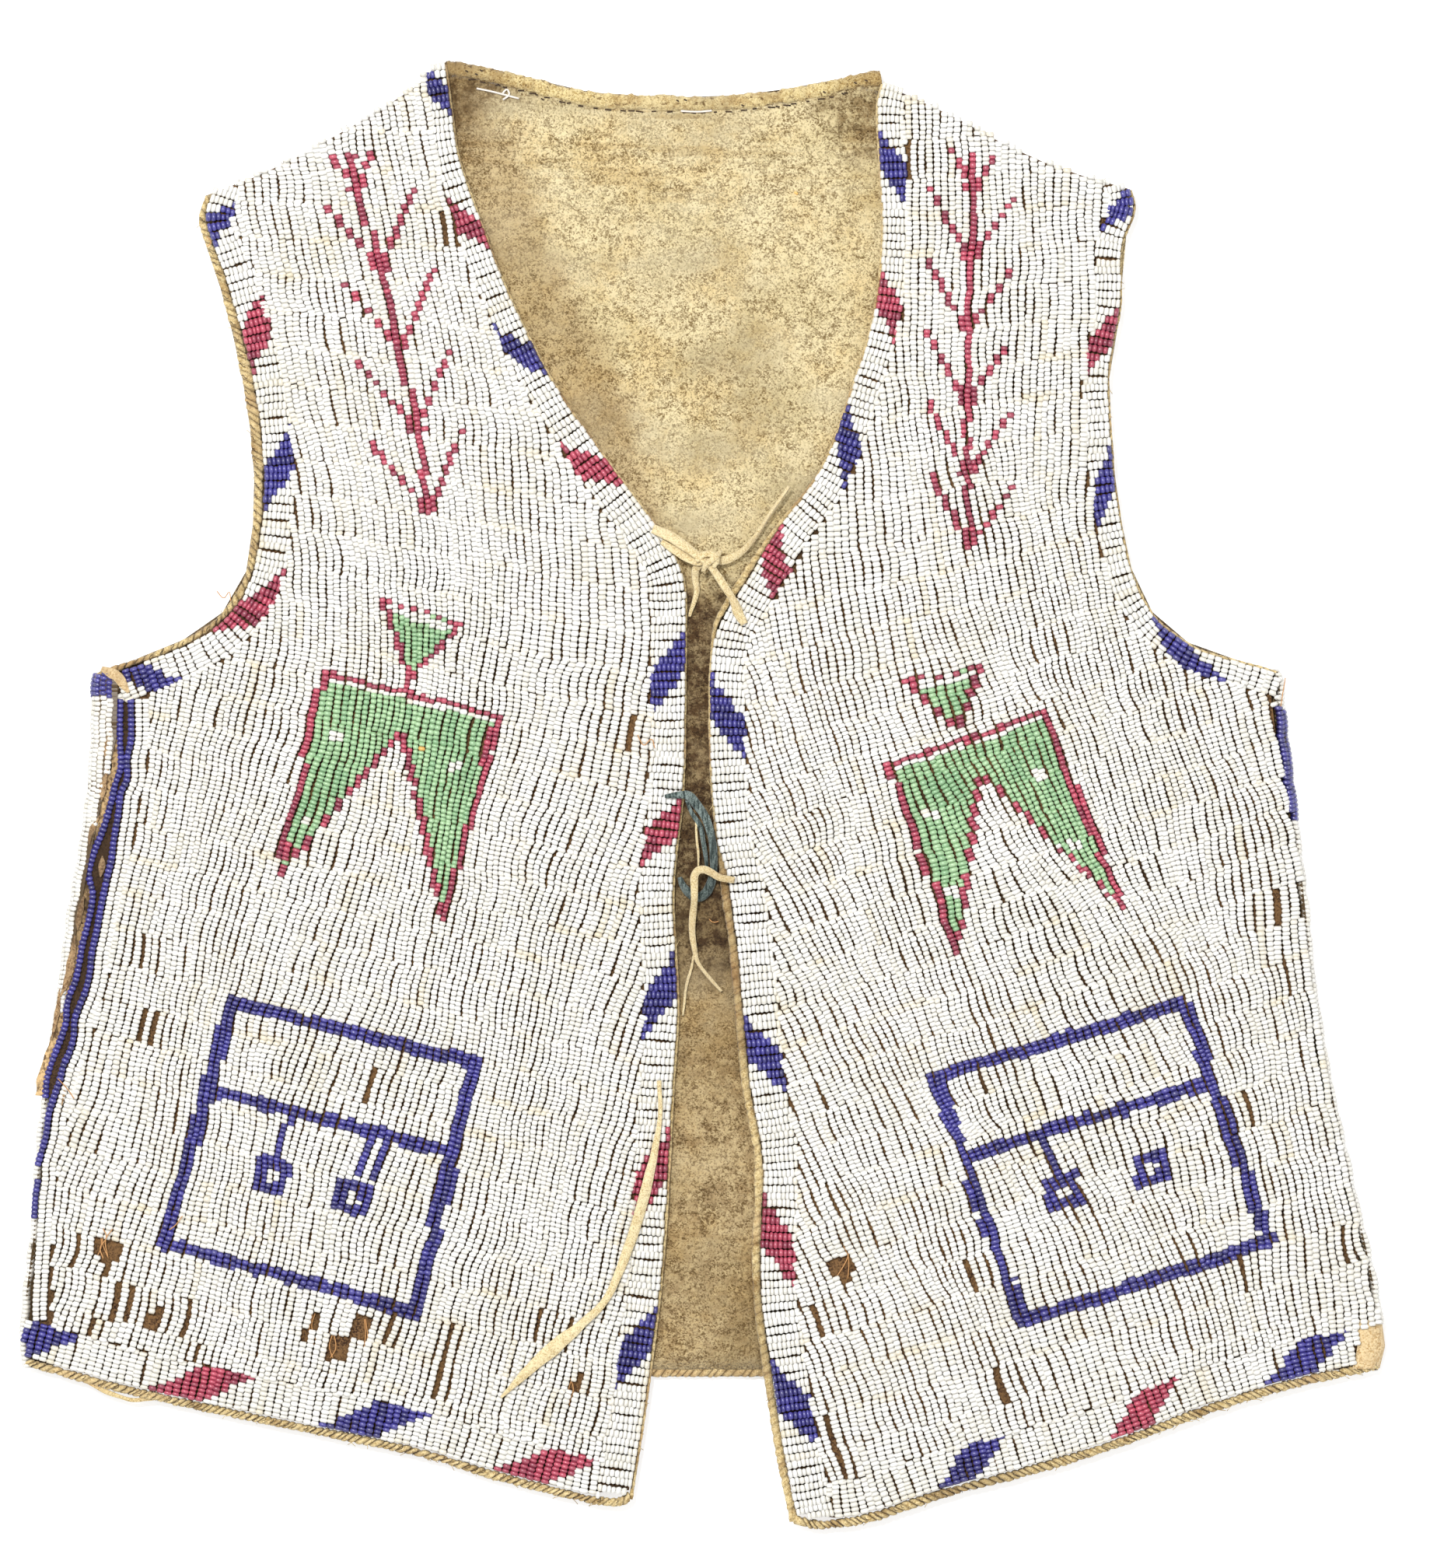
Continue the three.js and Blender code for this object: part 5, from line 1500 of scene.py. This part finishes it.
def build_threads():
    loose = [at_level(line, TOP_AT + 0.25) for line in THREADS]
    loose[IN_OPENING] = [(x, y, 4.4) for x, y in THREADS[IN_OPENING]]
    # threads left standing where many beads are gone
    for name in ("right", "left"):
        for cx, cy, w, h in LOST[name]:
            if w >= 4 and cy < -100 and cx < 168:
                for _ in range(2):
                    top, low = cx + chance.uniform(-0.4, 0.4) * w, cx + chance.uniform(-0.4, 0.4) * w
                    mid = (top + low) / 2 + chance.uniform(-1.2, 1.2)
                    line = [(top, cy + h * 0.5), (mid, cy + chance.uniform(-1.5, 1.5)), (low, cy - h * 0.5)]
                    loose.append(at_level(line, BED_AT + 0.7))
    tubes("loose_sinew", loose, 0.14, SINEW)
    # fibres that stand out from the hems' and armholes' bindings
    fibres = []
    for front in (RIGHT, LEFT):
        for edge, count in (("hem", 22), ("armhole", 6), ("opening", 8)):
            line = smooth_line(front[edge], 1)
            for i in chance.integers(6, len(line) - 7, count):
                if edge == "opening" and line[i, 1] > 60:
                    continue
                start = moved(line, front["side"], chance.uniform(0.2, 1.2))[i]
                out = moved(line, front["side"], -chance.uniform(0.1, 0.9))[i]
                slip = chance.uniform(-1.6, 1.6)
                along = (line[i + 1] - line[i - 1]) / 2
                mid = (start + out) / 2 + along * slip
                end = out + along * slip * 1.8
                z = FRONT_HIDE_AT + 2.0
                fibres.append([(*start, z), (*mid, z + 0.2), (*end, z - 0.6)])
    tubes("hem_fibres", fibres, 0.11, EDGING, 3)
    # dark thread that whips the hems' and armholes' bindings down
    whips = []
    for front in (RIGHT, LEFT):
        for edge, pace, reach in (("hem", 2, 1.9), ("armhole", 3, 1.4)):
            line = smooth_line(front[edge], 1)
            inset = [moved(line, front["side"], reach * share) for share in (0.05, 0.35, 0.7, 1.0)]
            i = 2
            while i < len(line) - 4:
                if chance.random() < 0.75 and edge_width(front, "binding", edge, line[i, 1]) > 1.2:
                    rise = (1.35, 2.15, 2.4, 2.2)
                    whips.append([(*inset[k][i + k // 2],
                                   FRONT_HIDE_AT + rise[k] + float(swell(*line[i]))) for k in range(4)])
                i += pace + int(chance.random() < 0.3)
    tubes("whipping_thread", whips, 0.1, HIDE_DARK, 3)
    # along the neck: a pale running thread, and dark stitches where the edge is turned in
    tubes("neck_thread", [
        [(-58, 181.8, 4.3), (-54.5, 181.1, 4.2), (-50.9, 180.2, 4.25), (-47.1, 179.2, 4.1)],
        [(-51.4, 180.4, 4.3), (-50.2, 181.6, 4.4), (-49.6, 180.2, 4.4), (-51.2, 178.9, 4.2)],
        [(-5.4, 176, 4.2), (-1, 175.8, 4.2), (2.6, 176.1, 4.1)]], 0.28, PALE_THREAD)
    line = spaced(moved(smooth_line(BACK_NECK, 1), 1, 4.1), 1.0)
    stitches = []
    i = 6
    while i < len(line) - 8:
        long = chance.uniform(0.8, 1.9)
        stitches.append([(*line[i], 3.85), (line[i, 0] + long, line[i, 1] - chance.uniform(-0.2, 0.3), 3.8)])
        i += int(chance.integers(2, 5))
    for x, y in ((-60.9, 186.4), (-58.4, 185.6), (-57.2, 186.6), (-52.6, 182.9), (-43, 180.4), (-41.4, 179.2),
                 (-6.6, 178.8),
                 (-4.6, 179), (10.2, 177.6), (31.2, 181), (39.2, 183.4), (42, 184), (36, 180.6)):
        stitches.append([(x, y, 4.55), (x + 0.7, y - 0.35, 4.5)])
    tubes("neck_stitches", stitches, 0.2, HIDE_DARK)
    tubes("neck_mark", [[(23.9, 155.2, 3.72), (24.7, 154.6, 3.72)]], 0.35, GLASS[AMBER])


def build_hide_patches():
    """The left front's bare lower corner, and the back's hide where the neck runs in under the left front."""
    corner = [(-3.4, 0.55), (-1.4, 0.8), (0.6, 0.7), (2.2, 0.1), (3.4, -1.2), (3.9, -2.6), (3.5, -4.0),
              (2.9, -3.6), (3.1, -2.6),
              (2.6, -1.6), (1.4, -0.7), (-1.4, -0.2), (-3.4, -0.2)]
    rings = []
    for y in np.arange(-135.2, -147.9, -0.6):
        edge = np.interp(-y, [135, 142, 148.2], [175.0, 175.9, 174.4]) - 3.75
        wave = 0.25 * waves(np.array([y]), np.array([0.0]), 71, 5)[0]
        rings.append([(edge + u + (wave if u < 0 else 0), y,
                       BED_AT + 0.55 + v + 0.12 * math.sin(u * 2 + y)) for u, v in corner])
    finish_piece(swept("left_corner_bare_hide", np.array(rings), CORNER_HIDE), [])
    _, rings = ribbon([(34, 180.6, 2.95), (40, 181.6, 2.95), (45, 181.2, 2.95), (49, 180, 2.95)], 4.2, 1.4,
                      wobble=0.05, seed=5)
    finish_piece(swept("neck_corner_hide", rings, HIDE_INSIDE), [])


# Floor and light

LAMPS = [  # name, place and size in metres, power in watts
    ("key", (-0.9, 0.9, 1.8), 1.2, 13), ("fill", (1.2, -0.6, 1.7), 1.2, 6), ("spark", (-0.35, 0.5, 2.0), 0.14, 28),
]


def add_studio():
    bpy.ops.mesh.primitive_plane_add(size=6)
    floor = bpy.context.object
    floor.name = "floor"
    floor.data.materials.append(mottled(
        "paper", 3.0, "C8C8C8", "C4C4C2", Roughness=0.9, Emission_Color=(1, 1, 1, 1), Emission_Strength=0.62,
    ))
    world = bpy.data.worlds.new("studio")
    scene.world = world
    world.use_nodes = True
    world.node_tree.nodes["Background"].inputs["Color"].default_value = (1, 1, 1, 1)
    world.node_tree.nodes["Background"].inputs["Strength"].default_value = 0.62
    for label, place, size, power in LAMPS:
        data = bpy.data.lights.new(label, "AREA")
        data.size, data.energy = size, power
        lamp = bpy.data.objects.new(label, data)
        lamp.location = place
        scene.collection.objects.link(lamp)
        lamp.rotation_euler = aimed(place)


def aimed(place):
    x, y, z = place
    flat = math.hypot(x, y)
    return (math.atan2(flat, z), 0, math.atan2(-y, -x) - math.pi / 2)


add_camera()
build_thongs()
build_threads()
build_hide_patches()
bead_pieces = {}
for front in (RIGHT, LEFT):
    bead_pieces[front["name"]] = build_front_beads(front)
    bead_pieces[front["name"]].append(build_fold_beads(front))
    if front is RIGHT:
        bead_pieces["right"].append(build_seam_beads(front))
        bead_pieces["right"].extend(build_seam_hide())

bindings = {"right": [], "left": [], "back": []}
for front in (RIGHT, LEFT):
    for k, (edge, table) in enumerate(front["binding"].items()):
        node = f"{front['name']}_{edge}_binding"
        line = smooth_line(front[edge], 1)
        made = stitched_edge(
            f"{node}_whipped", line, front["side"], (table, front["bare"][edge]), FRONT_HIDE_AT + 0.05,
            FRONT_HIDE_AT + 2.3,
            *WHIPPING[edge], EDGING, seed=k + 3,
        )
        bindings[front["name"]].append(finish_piece(made, [node]))
back_edges = [  # node, line, side, width, height, stitches' pitch and depth, material
    ("back_neck_binding", BACK_NECK, 1, 3.0, 2.3, 2.6, 0.16, NECK_EDGING),
    ("back_hem_binding", BACK_HEM, -1, 1.6, 1.5, 2.2, 0.8, EDGING),
]
for node, points, side, width, high, pitch, depth, mat in back_edges:
    line = smooth_line(points, 1)
    if node == "back_hem_binding":
        line = line[np.abs(line[:, 0]) < 164]  # between the folded sides
    made = stitched_edge(f"{node}_whipped", line, side, width + 0.8, BACK_HIDE_AT + 0.02, BACK_HIDE_AT + high, pitch,
                         depth, mat, lift=False, seed=9)
    bindings["back"].append(finish_piece(made, [node]))

panels = {
    "back": worked_copy("back_hide_panel", "back_hide", HIDE_INSIDE, 4, rumple),
    "right": worked_copy("right_hide_panel", "right_front_hide", HIDE_UNDER, 12, lambda x, y, z: 0.0),
    "left": worked_copy("left_hide_panel", "left_front_hide", HIDE_UNDER, 12, lambda x, y, z: 0.0),
}
for name, node in (("back", "back_hide"), ("right", "right_front_hide"), ("left", "left_front_hide")):
    finish_piece(panels[name], [node])

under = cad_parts["back_beadwork"]
for slot in under.material_slots:
    slot.material = BACK_BEADS

add_studio()
